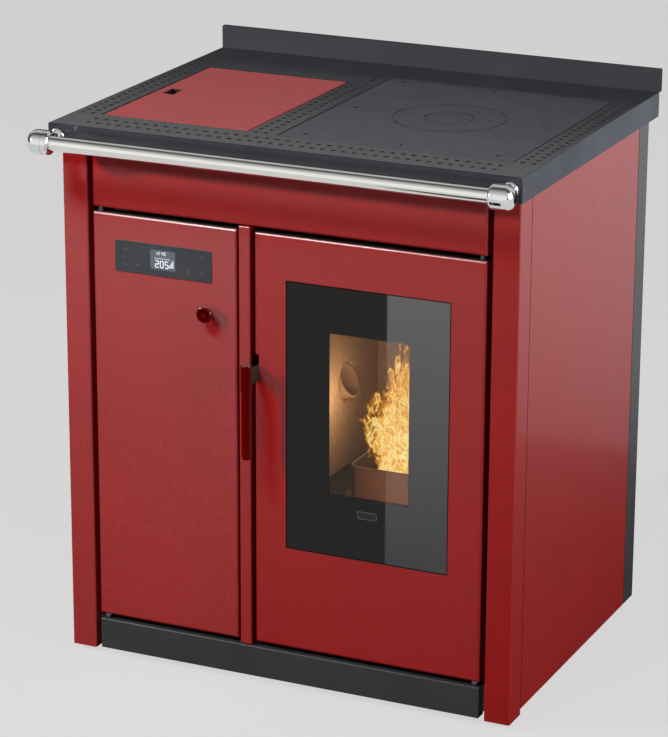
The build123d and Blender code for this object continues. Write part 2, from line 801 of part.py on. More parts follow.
def funnel(inset):
    """The tapered lower part of the hopper, drawn in by a wall."""
    upper = Pos(hopper_x, (hopper_front + hopper_rear) / 2, hopper_bend) * Rectangle(
        hopper_right - hopper_left - 2 * inset, hopper_rear - hopper_front - 2 * inset)
    lower = Pos(hopper_x, auger_y, outlet_z) * Rectangle(hopper_outlet - 2 * inset,
                                                         hopper_outlet - 2 * inset)
    return loft([lower, upper], ruled=True)


hopper += funnel(0)
hopper -= funnel(hopper_sheet)
hopper -= block(hopper_left + hopper_sheet, hopper_right - hopper_sheet, hopper_front + hopper_sheet,
                hopper_rear - hopper_sheet, hopper_bend, under_top)
inlet_neck = block(hopper_x - hopper_outlet / 2, hopper_x + hopper_outlet / 2, auger_y - hopper_outlet / 2,
                   auger_y + hopper_outlet / 2, outlet_z - outlet_rise, outlet_z)
inlet_hollow = block(hopper_x - hopper_outlet / 2 + hopper_sheet,
                     hopper_x + hopper_outlet / 2 - hopper_sheet,
                     auger_y - auger_tube_diameter / 2 + auger_tube_wall + hopper_sheet,
                     auger_y + auger_tube_diameter / 2 - auger_tube_wall - hopper_sheet,
                     outlet_z - outlet_rise, outlet_z)
pieces["pellet_hopper"] = hopper

# Auger: a sloping tube with an inlet neck, and a screw turned by a gearmotor at its lower end
tube_outer = along_auger(0, auger_tube_length, auger_tube_diameter / 2)
tube_bore = along_auger(0, auger_tube_length - auger_flange_thickness,
                        auger_tube_diameter / 2 - auger_tube_wall)
shaft_bore = along_auger(auger_tube_length - auger_flange_thickness, auger_tube_length,
                         auger_shaft_diameter / 2 + auger_bearing_clearance)
flange_middle = auger_end_z - (auger_end_x - chamber_left) * auger_slope
wall_flange = block(chamber_left - auger_flange_thickness, chamber_left, auger_y - auger_flange_size / 2,
                    auger_y + auger_flange_size / 2, flange_middle - auger_flange_size / 2,
                    flange_middle + auger_flange_size / 2)
auger_tube = tube_outer + inlet_neck + wall_flange - inlet_hollow - tube_bore - shaft_bore
pieces["auger_tube"] = auger_tube

flight_radius = auger_tube_diameter / 2 - auger_tube_wall - auger_clearance
flight_start = auger_tube_length - auger_flange_thickness - auger_clearance
flight_length = flight_start - auger_end_setback
flight_width = flight_radius - auger_shaft_diameter / 2 + auger_flight_thickness
flight_middle = flight_radius - flight_width / 2
helix = Helix(pitch=auger_pitch, height=flight_length, radius=flight_middle)
profile = Plane(origin=helix @ 0, x_dir=(1, 0, 0), z_dir=helix % 0) * Rectangle(flight_width,
                                                                                auger_flight_thickness)
flight = sweep(profile, path=helix, is_frenet=True)
screw = Pos(0, 0, -flight_start) * flight
shaft_end = auger_tube_length + gearmotor_length / 2
screw += Pos(0, 0, -(auger_end_setback + shaft_end) / 2) * Cylinder(auger_shaft_diameter / 2,
                                                                   shaft_end - auger_end_setback)
pieces["auger_screw"] = auger_plane * screw

gearmotor = along_auger(auger_tube_length, auger_tube_length + gearmotor_length, gearmotor_diameter / 2)
gearmotor -= along_auger(auger_tube_length, shaft_end + auger_clearance,
                         auger_shaft_diameter / 2 + auger_bearing_clearance)
pieces["auger_gearmotor"] = gearmotor

# Smoke fan: a scroll case behind the duct, an impeller, its motor, and the flue spigot
outlet_bottom = fan_z - fan_outlet_drop
case = rod_y(fan_x, fan_front, fan_rear, fan_z, fan_case_diameter / 2)
case += block(fan_x, fan_outlet_right, fan_front, fan_rear, outlet_bottom,
              outlet_bottom + fan_outlet_height)
case -= rod_y(fan_x, fan_front + fan_case_wall, fan_rear - fan_case_wall, fan_z,
              fan_case_diameter / 2 - fan_case_wall)
case -= block(fan_x, fan_outlet_right - fan_case_wall, fan_front + fan_case_wall,
              fan_rear - fan_case_wall, outlet_bottom + fan_case_wall,
              outlet_bottom + fan_outlet_height - fan_case_wall)
case -= rod_y(fan_x, fan_front, fan_front + fan_case_wall, fan_z, fan_inlet_diameter / 2)
case -= rod_y(fan_x, fan_rear - fan_case_wall, fan_rear, fan_z,
              fan_shaft_diameter / 2 + fan_shaft_clearance)
case -= rod_y(flue_x, fan_rear - fan_case_wall, fan_rear, flue_z, flue_diameter / 2 - flue_wall)
pieces["smoke_fan_housing"] = case

impeller_rear = fan_rear - fan_case_wall - impeller_gap
impeller_front = impeller_rear - impeller_plate
impeller = rod_y(fan_x, impeller_front, impeller_rear, fan_z, impeller_diameter / 2)
impeller += rod_y(fan_x, impeller_front - impeller_blade_height, impeller_front, fan_z,
                  impeller_hub_diameter / 2)
impeller += rod_y(fan_x, impeller_rear, fan_rear + fan_shaft_reach, fan_z, fan_shaft_diameter / 2)
blade = block(0, impeller_diameter / 2 - impeller_blade_thickness, impeller_front - impeller_blade_height,
              impeller_front, -impeller_blade_thickness / 2, impeller_blade_thickness / 2)
for turn in range(impeller_blade_count):
    impeller += Pos(fan_x, 0, fan_z) * Rot(0, turn * 360 / impeller_blade_count, 0) * blade
pieces["fan_impeller"] = impeller

fan_motor = rod_y(fan_x, fan_rear, fan_rear + fan_motor_length, fan_z, fan_motor_diameter / 2)
fan_motor -= rod_y(fan_x, fan_rear, fan_rear + fan_shaft_reach + impeller_gap, fan_z,
                   fan_shaft_diameter / 2 + fan_shaft_clearance)
pieces["smoke_fan_motor"] = fan_motor

flue = rod_y(flue_x, fan_rear, flue_end, flue_z, flue_diameter / 2)
flue += rod_y(flue_x, fan_rear, fan_rear + flue_flange_thickness, flue_z, flue_flange_diameter / 2)
flue += rod_y(flue_x, tray_rear, tray_rear + spigot_bead_thickness, flue_z,
              flue_diameter / 2 + spigot_bead_rim)
flue -= rod_y(flue_x, fan_rear, flue_end, flue_z, flue_diameter / 2 - flue_wall)
pieces["flue_spigot"] = flue

air = rod_y(air_x, chamber_rear, air_end, air_z, air_diameter / 2)
air += rod_y(air_x, tray_rear, tray_rear + spigot_bead_thickness, air_z, air_diameter / 2 + spigot_bead_rim)
air -= rod_y(air_x, chamber_rear, air_end, air_z, air_diameter / 2 - air_wall)
pieces["air_inlet_pipe"] = air

# Back panel, control box, power inlet and rocker switch
board_x = -tray_half + board_side_gap + board_width / 2
inlet_x = -tray_half + inlet_side_gap + inlet_width / 2
back = block(-tray_half + panel_sheet, tray_half - panel_sheet, back_inner, tray_rear, tray_top,
             under_top - back_panel_top_gap)
back -= rod_y(flue_x, back_inner, tray_rear, flue_z, flue_diameter / 2 + spigot_hole_clearance)
back -= rod_y(air_x, back_inner, tray_rear, air_z, air_diameter / 2 + spigot_hole_clearance)
inlet_cut = block(inlet_x - inlet_width / 2 + inlet_proud, inlet_x + inlet_width / 2 - inlet_proud,
                  back_inner, tray_rear, inlet_z - inlet_height / 2 + inlet_proud,
                  inlet_z + inlet_height / 2 - inlet_proud)
pieces["back_panel"] = back - inlet_cut

pieces["control_box"] = block(board_x - board_width / 2, board_x + board_width / 2,
                              back_inner - board_depth, back_inner, board_z - board_height / 2,
                              board_z + board_height / 2)

inlet_rear = tray_rear + inlet_proud
inlet = block(inlet_x - inlet_width / 2, inlet_x + inlet_width / 2, tray_rear, inlet_rear,
              inlet_z - inlet_height / 2, inlet_z + inlet_height / 2)
inlet += block(inlet_x - inlet_width / 2 + inlet_proud, inlet_x + inlet_width / 2 - inlet_proud,
               inlet_rear - inlet_depth, tray_rear, inlet_z - inlet_height / 2 + inlet_proud,
               inlet_z + inlet_height / 2 - inlet_proud)
socket_left = inlet_x - inlet_width / 2 + socket_margin
inlet -= block(socket_left, socket_left + socket_width, inlet_rear - socket_depth, inlet_rear,
               inlet_z - socket_height / 2, inlet_z + socket_height / 2)
rocker_right = inlet_x + inlet_width / 2 - rocker_margin
rocker_x = rocker_right - rocker_width / 2
rocker_y = inlet_rear + rocker_proud - rocker_depth / 2
inlet -= block(rocker_right - rocker_width - rocker_play, rocker_right + rocker_play,
               rocker_y - rocker_depth / 2 - 2 * rocker_play, inlet_rear,
               inlet_z - rocker_height / 2 - rocker_play, inlet_z + rocker_height / 2 + rocker_play)
rocker_pin_half = rocker_width / 2 + rocker_play + rocker_pin_length
inlet -= rod_x(rocker_x - rocker_pin_half, rocker_x + rocker_pin_half, rocker_y, inlet_z,
               rocker_pin_diameter / 2 + hinge_clearance)
pieces["power_inlet"] = inlet
rocker = block(rocker_x - rocker_width / 2, rocker_right, rocker_y - rocker_depth / 2,
               rocker_y + rocker_depth / 2, inlet_z - rocker_height / 2, inlet_z + rocker_height / 2)
rocker += rod_x(rocker_x - rocker_pin_half + hinge_clearance, rocker_x + rocker_pin_half - hinge_clearance,
                rocker_y, inlet_z, rocker_pin_diameter / 2)
pieces["power_switch"] = rocker

# Handrail: a brushed tube between two polished barrels, each on a stem and a round foot on the skirt
pieces["handrail_tube"] = (rod_x(-barrel_start - rail_socket, barrel_start + rail_socket, rail_y, rail_z,
                                 rail_diameter / 2)
                           - rod_x(-barrel_start - rail_socket, barrel_start + rail_socket, rail_y, rail_z,
                                   rail_diameter / 2 - rail_wall))
barrel = rod_x(barrel_start, rail_end, rail_y, rail_z, barrel_diameter / 2)
barrel = fillet(barrel.faces().sort_by(Axis.X)[-1].edges(), barrel_outer_radius)
barrel = fillet(barrel.faces().sort_by(Axis.X)[0].edges(), barrel_inner_radius)
seam_x = barrel_start + barrel_seam_inset
seam = rod_x(seam_x, seam_x + barrel_seam_width, rail_y, rail_z, barrel_diameter / 2)
seam -= rod_x(seam_x, seam_x + barrel_seam_width, rail_y, rail_z, barrel_diameter / 2 - barrel_seam_width)
stem_x = half_top - rail_stem_inset
rosette = rod_y(stem_x, top_front - rosette_thickness, top_front, rail_z, rosette_diameter / 2)
rosette = fillet(rosette.faces().sort_by(Axis.Y)[0].edges(), rosette_edge_radius)
barrel = barrel - seam + rod_y(stem_x, rail_y, top_front, rail_z, rail_stem_diameter / 2) + rosette
barrel -= rod_x(barrel_start, barrel_start + rail_socket, rail_y, rail_z,
                rail_diameter / 2 + rail_socket_clearance)
pieces["handrail_ends"] = grouped([barrel, mirror(barrel, about=Plane.YZ)])

# Door hinges: lugs inside the fascia and the plinth, with fixed pins that the doors turn on
lugs = []
pins = []
pin_hole = hinge_pin_diameter / 2 + hinge_clearance
for side in (-1, 1):
    x = side * hinge_x
    upper = fascia_bottom + panel_sheet + hinge_lug_gap
    lower = plinth_top - panel_sheet - hinge_lug_gap
    lug = block(x - hinge_lug_width / 2, x + hinge_lug_width / 2, hinge_inset - hinge_pin_diameter,
                frame_front, upper, upper + hinge_lug_thickness)
    lug += block(x - hinge_lug_width / 2, x + hinge_lug_width / 2, frame_front - hinge_leg_thickness,
                 frame_front, upper, upper + hinge_leg_height)
    lug -= rod_z(x, hinge_inset, upper, upper + hinge_lug_thickness, pin_hole)
    lugs.append(lug)
    lug = block(x - hinge_lug_width / 2, x + hinge_lug_width / 2, hinge_inset - hinge_pin_diameter,
                frame_front, lower - hinge_lug_thickness, lower)
    lug += block(x - hinge_lug_width / 2, x + hinge_lug_width / 2, frame_front - hinge_leg_thickness,
                 frame_front, lower - hinge_leg_height / 2, lower)
    lug -= rod_z(x, hinge_inset, lower - hinge_lug_thickness, lower, pin_hole)
    lugs.append(lug)
    pins.append(rod_z(x, hinge_inset, door_top - panel_sheet - hinge_bush_length,
                      upper + hinge_lug_thickness, hinge_pin_diameter / 2))
    pin = rod_z(x, hinge_inset, lower - hinge_lug_thickness, door_bottom + panel_sheet + hinge_bush_length,
                hinge_pin_diameter / 2)
    pin += rod_z(x, hinge_inset, door_bottom - hinge_collar_height, door_bottom, hinge_collar_diameter / 2)
    pins.append(pin)
pieces["door_hinge_lugs"] = grouped(lugs)
pieces["door_hinge_pins"] = grouped(pins)


def hinge_bushes(x):
    """The two bushes of a door, against its upper and lower edges."""
    bushes = []
    for low in (door_bottom + panel_sheet, door_top - panel_sheet - hinge_bush_length):
        bush = rod_z(x, hinge_inset, low, low + hinge_bush_length, hinge_bush_diameter / 2)
        bushes.append(bush - rod_z(x, hinge_inset, low, low + hinge_bush_length, pin_hole))
    return grouped(bushes)


def hinge_holes(door, x):
    """Drills a door's upper and lower edges for its pins."""
    door -= rod_z(x, hinge_inset, door_bottom, door_bottom + panel_sheet, pin_hole)
    door -= rod_z(x, hinge_inset, door_top - panel_sheet, door_top, pin_hole)
    return door


# Service door: a folded cover with lips, a touch control panel and a round knob
service = front_rounded(block(service_left, service_right, 0, door_thickness, door_bottom, door_top),
                        door_edge_radius)
service -= block(service_left + panel_sheet, service_right - panel_sheet, panel_sheet,
                 door_thickness - panel_sheet, door_bottom + panel_sheet, door_top - panel_sheet)
service -= block(service_left + door_lip, service_right - door_lip, door_thickness - panel_sheet,
                 door_thickness, door_bottom + door_lip, door_top - door_lip)
control_left = service_left + control_left_margin
control_right = service_right - control_right_margin
control_top = door_top - control_top_margin
service -= block(control_left + control_lip, control_right - control_lip, 0, panel_sheet,
                 control_top - control_height + control_lip, control_top - control_lip)
pieces["service_door"] = hinge_holes(service, -hinge_x)
pieces["service_door_bushes"] = hinge_bushes(-hinge_x)

control = block(control_left, control_right, -control_proud, 0, control_top - control_height,
                control_top)
control = fillet(control.edges().filter_by(Axis.Y), control_corner_radius)
control += block(control_left + control_lip, control_right - control_lip, 0,
                 control_body_depth, control_top - control_height + control_lip, control_top - control_lip)
screen_left = control_left + display_left
screen_top = control_top - display_top
screen_cut = block(screen_left, screen_left + display_width, -control_proud, display_depth - control_proud,
                   screen_top - display_height, screen_top)
pieces["control_panel"] = control - screen_cut
pieces["display_screen"] = screen_cut

knob_x = service_right - knob_edge_margin
knob_z = door_top - knob_drop
knob_front = -knob_stem_length - knob_head
knob = rod_y(knob_x, knob_front, -knob_stem_length, knob_z, knob_diameter / 2)
knob = fillet(knob.edges(), knob_edge_radius)
knob += rod_y(knob_x, -knob_stem_length, 0, knob_z, knob_stem_diameter / 2)
knob -= (rod_y(knob_x, knob_front, knob_front + knob_groove_depth, knob_z, knob_groove_radius)
         - rod_y(knob_x, knob_front, knob_front + knob_groove_depth, knob_z,
                 knob_groove_radius - knob_groove_width))
pieces["door_knob"] = knob

catch_top = door_top - catch_drop
pieces["magnet_catch"] = block(mullion_left - catch_width, mullion_left, door_thickness + catch_gap,
                               door_thickness + catch_gap + catch_depth, catch_top - catch_height, catch_top)

# Fire door: a folded cover over a steel frame that holds the glass, the seals and the latch
slot_left = fire_left
slot_right = lever_right + lever_slot_play
fire = front_pan(fire_left, fire_right, door_bottom, door_top, door_thickness, door_edge_radius)
fire -= block(glass_left - glass_gap, glass_right + glass_gap, 0, panel_sheet, glass_bottom - glass_gap,
              glass_top + glass_gap)
fire -= block(slot_left, slot_right, 0, door_thickness, lever_bottom - lever_slot_play, lever_slot_top)
fire -= block(slot_left, slot_right, lever_pivot_depth, door_thickness, lever_bottom - lever_tail_drop,
              lever_slot_top)
pieces["fire_door_panel"] = hinge_holes(fire, hinge_x)
pieces["fire_door_bushes"] = hinge_bushes(hinge_x)

window = (glass_left + frame_window_inset, glass_right - frame_window_inset,
          glass_bottom + frame_window_inset,
          glass_top - frame_window_inset)
frame = block(fire_left + panel_sheet, fire_right - panel_sheet, frame_plate_front, door_thickness,
              door_bottom + panel_sheet, door_top - panel_sheet)
frame += block(window[0] - frame_plate, window[1] + frame_plate, gasket_rear, frame_plate_front,
               window[2] - frame_plate, window[3] + frame_plate)
frame += block(glass_left - frame_flange_rim, glass_right + frame_flange_rim, gasket_rear,
               gasket_rear + frame_plate, glass_bottom - frame_flange_rim, glass_top + frame_flange_rim)
frame -= block(window[0], window[1], gasket_rear, door_thickness, window[2], window[3])
boss_left = slot_right + lever_slot_play
frame += block(boss_left, boss_left + lever_boss_width, lever_pivot_depth - lever_pin_diameter,
               frame_plate_front, lever_pivot_z - lever_boss_height / 2,
               lever_pivot_z + lever_boss_height / 2)
frame -= rod_x(boss_left, boss_left + lever_boss_width, lever_pivot_depth, lever_pivot_z,
               lever_pin_diameter / 2 + hinge_clearance)
frame -= block(slot_left, slot_right, frame_plate_front, door_thickness, lever_bottom - lever_tail_length,
               lever_slot_top)
pieces["fire_door_frame"] = frame

pieces["door_glass"] = block(glass_left, glass_right, glass_recess, glass_rear, glass_bottom, glass_top)
pieces["glass_gasket"] = ring_frame(glass_left + gasket_inset, glass_right - gasket_inset, glass_rear,
                                    gasket_rear, glass_bottom + gasket_inset, glass_top - gasket_inset,
                                    gasket_width)
rope_outer = rope_inset + rope_width
rope = ring_frame(mouth_left - rope_outer, mouth_right + rope_outer, door_thickness, chamber_front - rope_gap,
                  mouth_bottom - rope_outer, mouth_top + rope_outer, rope_width)
pieces["door_rope_seal"] = fillet(rope.edges().filter_by(Axis.Y, reverse=True), rope_edge_radius)

# Door handle: a hanging bar on a lever that pivots inside the door and drops its tail below a keeper pin
collar_bottom = handle_top - handle_collar_length
grip_bottom = collar_bottom - handle_grip_length
grip = rod_z(handle_x, -handle_standoff, collar_bottom, handle_top, handle_collar_diameter / 2)
grip = fillet(grip.faces().sort_by(Axis.Z)[-1].edges(), panel_sheet)
grip += rod_z(handle_x, -handle_standoff, grip_bottom, collar_bottom, handle_diameter / 2)
grip += rod_z(handle_x, -handle_standoff, handle_bottom, grip_bottom, handle_cap_diameter / 2)
pieces["handle_grip"] = grip

tail_end = lever_pivot_depth + lever_tail_length
tail_bottom = lever_pivot_z - lever_tail_drop
tail_top = tail_bottom + lever_tail_height
lever = block(handle_x - lever_thickness / 2, lever_right, -handle_standoff, lever_pivot_depth,
              lever_bottom, lever_top)
lever += block(handle_x - lever_thickness / 2, lever_right, lever_pivot_depth, tail_end, tail_bottom,
               tail_top)
lever -= block(handle_x - lever_thickness / 2, lever_right, -handle_diameter / 2 - lever_window_length,
               -handle_diameter / 2, lever_pivot_z - lever_window_height / 2,
               lever_pivot_z + lever_window_height / 2)
lever += rod_x(lever_right, lever_right + lever_pin_length, lever_pivot_depth, lever_pivot_z,
               lever_pin_diameter / 2)
pieces["latch_lever"] = lever - grip

keeper_y = chamber_front + keeper_depth
keeper_z = tail_top + keeper_gap + keeper_pin_diameter / 2
keeper = block(chamber_left - keeper_plate, chamber_left, keeper_y - keeper_depth,
               keeper_y - keeper_depth + keeper_plate_size,
               keeper_z - keeper_plate_size / 2, keeper_z + keeper_plate_size / 2)
keeper += rod_x(handle_x - lever_thickness, chamber_left, keeper_y, keeper_z, keeper_pin_diameter / 2)
pieces["latch_keeper"] = keeper

# Hopper lid: a flat folded lid with a finger hole, turning on two studs at its right edge
lid = block(lid_left, lid_right, lid_front, lid_rear, lid_bottom, worktop_height)
lid = fillet(lid.faces().sort_by(Axis.Z)[-1].edges(), lid_sheet / 2)
lid -= block(lid_left + lid_sheet, lid_right - lid_sheet, lid_front + lid_sheet, lid_rear - lid_sheet,
             lid_bottom, worktop_height - lid_sheet)
hole_left = lid_left + finger_hole_inset
hole_front = (lid_front + lid_rear - finger_hole_depth) / 2
lid -= block(hole_left, hole_left + finger_hole_width, hole_front, hole_front + finger_hole_depth,
             worktop_height - lid_sheet, worktop_height)
lid -= rod_y(lid_axis_x, lid_front, lid_rear, lid_axis_z, lid_pin_diameter / 2 + hinge_clearance)
pieces["hopper_lid"] = lid

brackets = []
for start, end, stud_end in ((lid_front - lid_gap - lid_bracket_depth, lid_front - lid_gap,
                              lid_front + 2 * lid_sheet),
                             (lid_rear + lid_gap, lid_rear + lid_gap + lid_bracket_depth,
                              lid_rear - 2 * lid_sheet)):
    bracket = block(lid_axis_x - lid_bracket_width / 2, lid_axis_x + lid_bracket_width / 2, start, end,
                    lid_bottom, under_top)
    bracket += rod_y(lid_axis_x, min(start, stud_end), max(end, stud_end), lid_axis_z, lid_pin_diameter / 2)
    brackets.append(bracket)
pieces["lid_hinge_brackets"] = grouped(brackets)

# Moves the origin to the floor under the middle of the box and writes one file for each piece
box_front = rail_y - barrel_diameter / 2
box_middle = (box_front + flue_end) / 2
os.makedirs("parts", exist_ok=True)
for name, piece in pieces.items():
    placed = Pos(0, -box_middle, 0) * piece
    export_step(placed, os.path.join("parts", name + ".step"))
print("pieces", len(pieces), "origin moved back by", box_middle)
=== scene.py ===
import math
import random

import bmesh
import bpy
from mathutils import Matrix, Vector


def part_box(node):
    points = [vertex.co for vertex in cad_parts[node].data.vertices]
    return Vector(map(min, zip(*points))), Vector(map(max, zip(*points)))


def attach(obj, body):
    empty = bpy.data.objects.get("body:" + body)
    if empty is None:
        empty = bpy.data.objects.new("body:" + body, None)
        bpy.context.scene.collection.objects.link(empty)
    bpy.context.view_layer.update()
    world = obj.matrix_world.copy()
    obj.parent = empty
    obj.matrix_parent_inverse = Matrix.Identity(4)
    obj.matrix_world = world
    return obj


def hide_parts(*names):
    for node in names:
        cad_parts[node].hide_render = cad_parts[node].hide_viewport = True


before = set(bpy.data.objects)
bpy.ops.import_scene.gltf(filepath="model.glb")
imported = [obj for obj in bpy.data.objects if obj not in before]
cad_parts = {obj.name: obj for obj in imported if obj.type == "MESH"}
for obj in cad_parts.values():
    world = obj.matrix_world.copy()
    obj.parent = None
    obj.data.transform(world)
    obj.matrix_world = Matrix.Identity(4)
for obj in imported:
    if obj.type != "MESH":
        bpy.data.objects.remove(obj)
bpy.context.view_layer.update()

# Base tray and divider wall: sheet steel that is cut, folded and spot-welded into the
# carcass which carries the doors, the chamber and the feet. It stays bare zinc inside the stove.


def linear(colour):
    """Turns an sRGB hex colour to linear red, green, blue and alpha."""
    shares = [int(colour[i:i + 2], 16) / 255 for i in (1, 3, 5)]
    return [s / 12.92 if s <= 0.04045 else ((s + 0.055) / 1.055) ** 2.4 for s in shares] + [1.0]


def per_metre(millimetres):
    """The scale of a pattern whose features have that size."""
    return 1000 / millimetres


def add(tree, kind, values=(), links=(), **settings):
    """Adds a shader node with its settings, socket values and links."""
    node = tree.nodes.new("ShaderNode" + kind)
    for name, value in settings.items():
        setattr(node, name, value)
    for socket, value in dict(values).items():
        node.inputs[socket].default_value = value
    for socket, source in dict(links).items():
        tree.links.new(source, node.inputs[socket])
    return node


def start_material(name):
    """A new material, its node tree, its shader and the place on the piece in metres."""
    material = bpy.data.materials.new(name)
    material.use_nodes = True
    tree = material.node_tree
    return material, tree, tree.nodes["Principled BSDF"], add(tree, "TexCoord").outputs["Object"]


def surface(name, colours, blotch, grain, relief, roughness, stretch=(1, 1, 1), **sockets):
    """A finish whose colour drifts over blotches, with a fine grain in its gloss and its relief.

    Blotch, grain and relief are in millimetres, and roughness is its lowest and highest value.
    """
    material, tree, shader, place = start_material(name)
    place = add(tree, "Mapping", {"Scale": stretch}, {"Vector": place}).outputs["Vector"]
    drift = add(tree, "TexNoise", {"Scale": per_metre(blotch), "Detail": 3.0}, {"Vector": place})
    fine = add(tree, "TexNoise", {"Scale": per_metre(grain), "Detail": 2.0}, {"Vector": place})
    spread = add(tree, "MapRange", {"From Min": 0.3, "From Max": 0.7}, {"Value": drift.outputs["Fac"]})
    colour = add(tree, "MixRGB", {"Color1": linear(colours[0]), "Color2": linear(colours[1])},
                 {"Fac": spread.outputs["Result"]})
    gloss = add(tree, "MapRange", {"From Min": 0.3, "From Max": 0.7, "To Min": roughness[0],
                                   "To Max": roughness[1]}, {"Value": fine.outputs["Fac"]})
    bump = add(tree, "Bump", {"Strength": 1.0, "Distance": relief / 1000}, {"Height": fine.outputs["Fac"]})
    tree.links.new(colour.outputs["Color"], shader.inputs["Base Color"])
    tree.links.new(gloss.outputs["Result"], shader.inputs["Roughness"])
    tree.links.new(bump.outputs["Normal"], shader.inputs["Normal"])
    for socket, value in sockets.items():
        shader.inputs[socket.replace("_", " ")].default_value = value
    return material


def paint(material, *names):
    """Gives CAD nodes their finish."""
    for name in names:
        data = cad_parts[name].data
        data.materials.clear()
        data.materials.append(material)


# Zinc coating: a pale grey metal with a faint spangle of flat crystals
zinc_coated_steel = surface("zinc_coated_steel", ("#8d9093", "#a4a7a9"), blotch=9, grain=3, relief=0.03,
                            roughness=(0.36, 0.5), Metallic=1.0)
paint(zinc_coated_steel, "base_tray", "divider_wall", "lid_hinge_brackets", "door_hinge_lugs")

# Levelling feet: moulded polyamide pads on threaded stems, screwed up into the base tray.
# Moulded polyamide: near black, with the even fine grain of a spark-eroded mould.
moulded_polyamide = surface("moulded_polyamide", ("#121213", "#1a1a1b"), blotch=40, grain=0.8, relief=0.04,
                            roughness=(0.42, 0.55))
paint(moulded_polyamide, "levelling_feet", "magnet_catch")

# Pillars, side panels, mullion and fascia: folded sheet steel in red stove enamel, screwed to the tray and
# the crossbar from behind, so that no fastener shows.
# Baked enamel: a deep red that spreads a pale sheen from the lamps under a thin clear skin, with an orange
# peel whose real waves of 3 mm are drawn at 9 mm so that they show.
red_enamel = surface("red_baked_enamel", ("#860504", "#8c0605"), blotch=160, grain=9, relief=0.012,
                     roughness=(0.48, 0.54), Specular_IOR_Level=0.8, Coat_Weight=0.25, Coat_Roughness=0.14)
paint(red_enamel, "left_front_pillar", "right_front_pillar", "left_side_panel", "right_side_panel",
      "centre_mullion", "fascia_panel")

# Rear posts, plinth, crossbar and back panel: folded sheet steel that closes the back and the foot of the
# stove and ties its pillars together behind the fascia.
# Satin powder coat: dark grey, with a fine sand-like texture that spreads the light.
dark_powder_coat = surface("dark_satin_powder_coat", ("#2c2c2e", "#333335"), blotch=120, grain=1.6,
                           relief=0.05, roughness=(0.42, 0.55), Specular_IOR_Level=0.8)
paint(dark_powder_coat, "left_rear_post", "right_rear_post", "plinth", "front_crossbar", "back_panel")

# Combustion chamber, plate frame, door frame and flue spigot: welded steel that meets the fire.
# Stove paint: dull black with a dry, slightly rough skin, greyer where heat has worked on it.
stove_paint = surface("matt_stove_paint", ("#191817", "#262422"), blotch=70, grain=1.5, relief=0.06,
                      roughness=(0.68, 0.85))
paint(stove_paint, "combustion_chamber", "plate_frame", "fire_door_frame", "flue_spigot")

# Chamber lining and baffle: pressed vermiculite boards that stand loose in the chamber and reflect its heat.
# Vermiculite: a brown mineral board, softly speckled with paler flakes 2 to 4 mm wide.
vermiculite, tree, shader, place = start_material("pressed_vermiculite")
flakes = add(tree, "TexVoronoi", {"Scale": per_metre(4), "Randomness": 1.0}, {"Vector": place})
tint = add(tree, "ValToRGB", links={"Fac": flakes.outputs["Color"]})
tint.color_ramp.elements[0].color = linear("#8a6f5b")
tint.color_ramp.elements[1].color = linear("#9c8069")
dents = add(tree, "Bump", {"Strength": 0.8, "Distance": 0.0004}, {"Height": flakes.outputs["Distance"]})
tree.links.new(tint.outputs["Color"], shader.inputs["Base Color"])
tree.links.new(dents.outputs["Normal"], shader.inputs["Normal"])
shader.inputs["Roughness"].default_value = 0.88
paint(vermiculite, "chamber_lining", "baffle_plate")

# Burn pot: a cast-iron cup with air holes, hung loose in the hearth so that it lifts out for emptying.
# Cast iron: browned by heat and ash, with the coarse skin of a sand mould; its brown is also lighter and
# warmer than the iron's near black, as painted firelight.
cast_iron = surface("sand_cast_iron", ("#4a3c33", "#5b4a3f"), blotch=25, grain=2.2, relief=0.18,
                    roughness=(0.55, 0.75))
paint(cast_iron, "burn_pot")


def make(name, mesh, material, body):
    """Turns a bmesh into a piece that rides on a body, with outward normals and smooth round faces."""
    bmesh.ops.recalc_face_normals(mesh, faces=mesh.faces)
    data = bpy.data.meshes.new(name)
    mesh.to_mesh(data)
    mesh.free()
    data.materials.append(material)
    data.set_sharp_from_angle(angle=math.radians(40))
    piece = bpy.data.objects.new(name, data)
    bpy.context.scene.collection.objects.link(piece)
    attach(piece, body)
    return piece


def loft(mesh, rings, closed=False):
    """Joins rings of points into a skin, with capped ends unless the last ring meets the first."""
    made = [[mesh.verts.new(point) for point in ring] for ring in rings]
    count = len(made[0])
    pairs = list(zip(made, made[1:])) + ([(made[-1], made[0])] if closed else [])
    for low, high in pairs:
        for i in range(count):
            j = (i + 1) % count
            mesh.faces.new((low[i], low[j], high[j], high[i])).smooth = True
    if not closed:
        mesh.faces.new(list(reversed(made[0])))
        mesh.faces.new(made[-1])


def circle_ring(centre, across, up, radius_across, radius_up, sides):
    """Points of an ellipse about a centre."""
    turns = [2 * math.pi * i / sides for i in range(sides)]
    return [centre + across * (radius_across * math.cos(a)) + up * (radius_up * math.sin(a)) for a in turns]


# Ember bed: wood pellets 6 mm thick that lie at random in the burn pot and glow from below.
# Glowing charcoal: grey ash over orange heat, in patches a few millimetres wide.
pot_low, pot_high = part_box("burn_pot")
pot_middle = (pot_low + pot_high) / 2
pot_half_width = 0.080
pot_half_depth = 0.050
ember_floor = pot_low.z + 0.010
ember_margin = 0.014
layer_rise = 0.0055
pellet_radius = 0.003
pellet_end_radius = 0.0022
pellet_end = 0.0008
glowing_pellets, tree, shader, place = start_material("glowing_wood_pellets")
patches = add(tree, "TexNoise", {"Scale": per_metre(14), "Detail": 3.0}, {"Vector": place})
heat = add(tree, "ValToRGB", links={"Fac": patches.outputs["Fac"]})
heat.color_ramp.elements[0].position = 0.42
heat.color_ramp.elements[0].color = linear("#2a0d05")
heat.color_ramp.elements[1].position = 0.62
heat.color_ramp.elements[1].color = linear("#ff9a3c")
tree.links.new(heat.outputs["Color"], shader.inputs["Emission Color"])
shader.inputs["Emission Strength"].default_value = 1.2
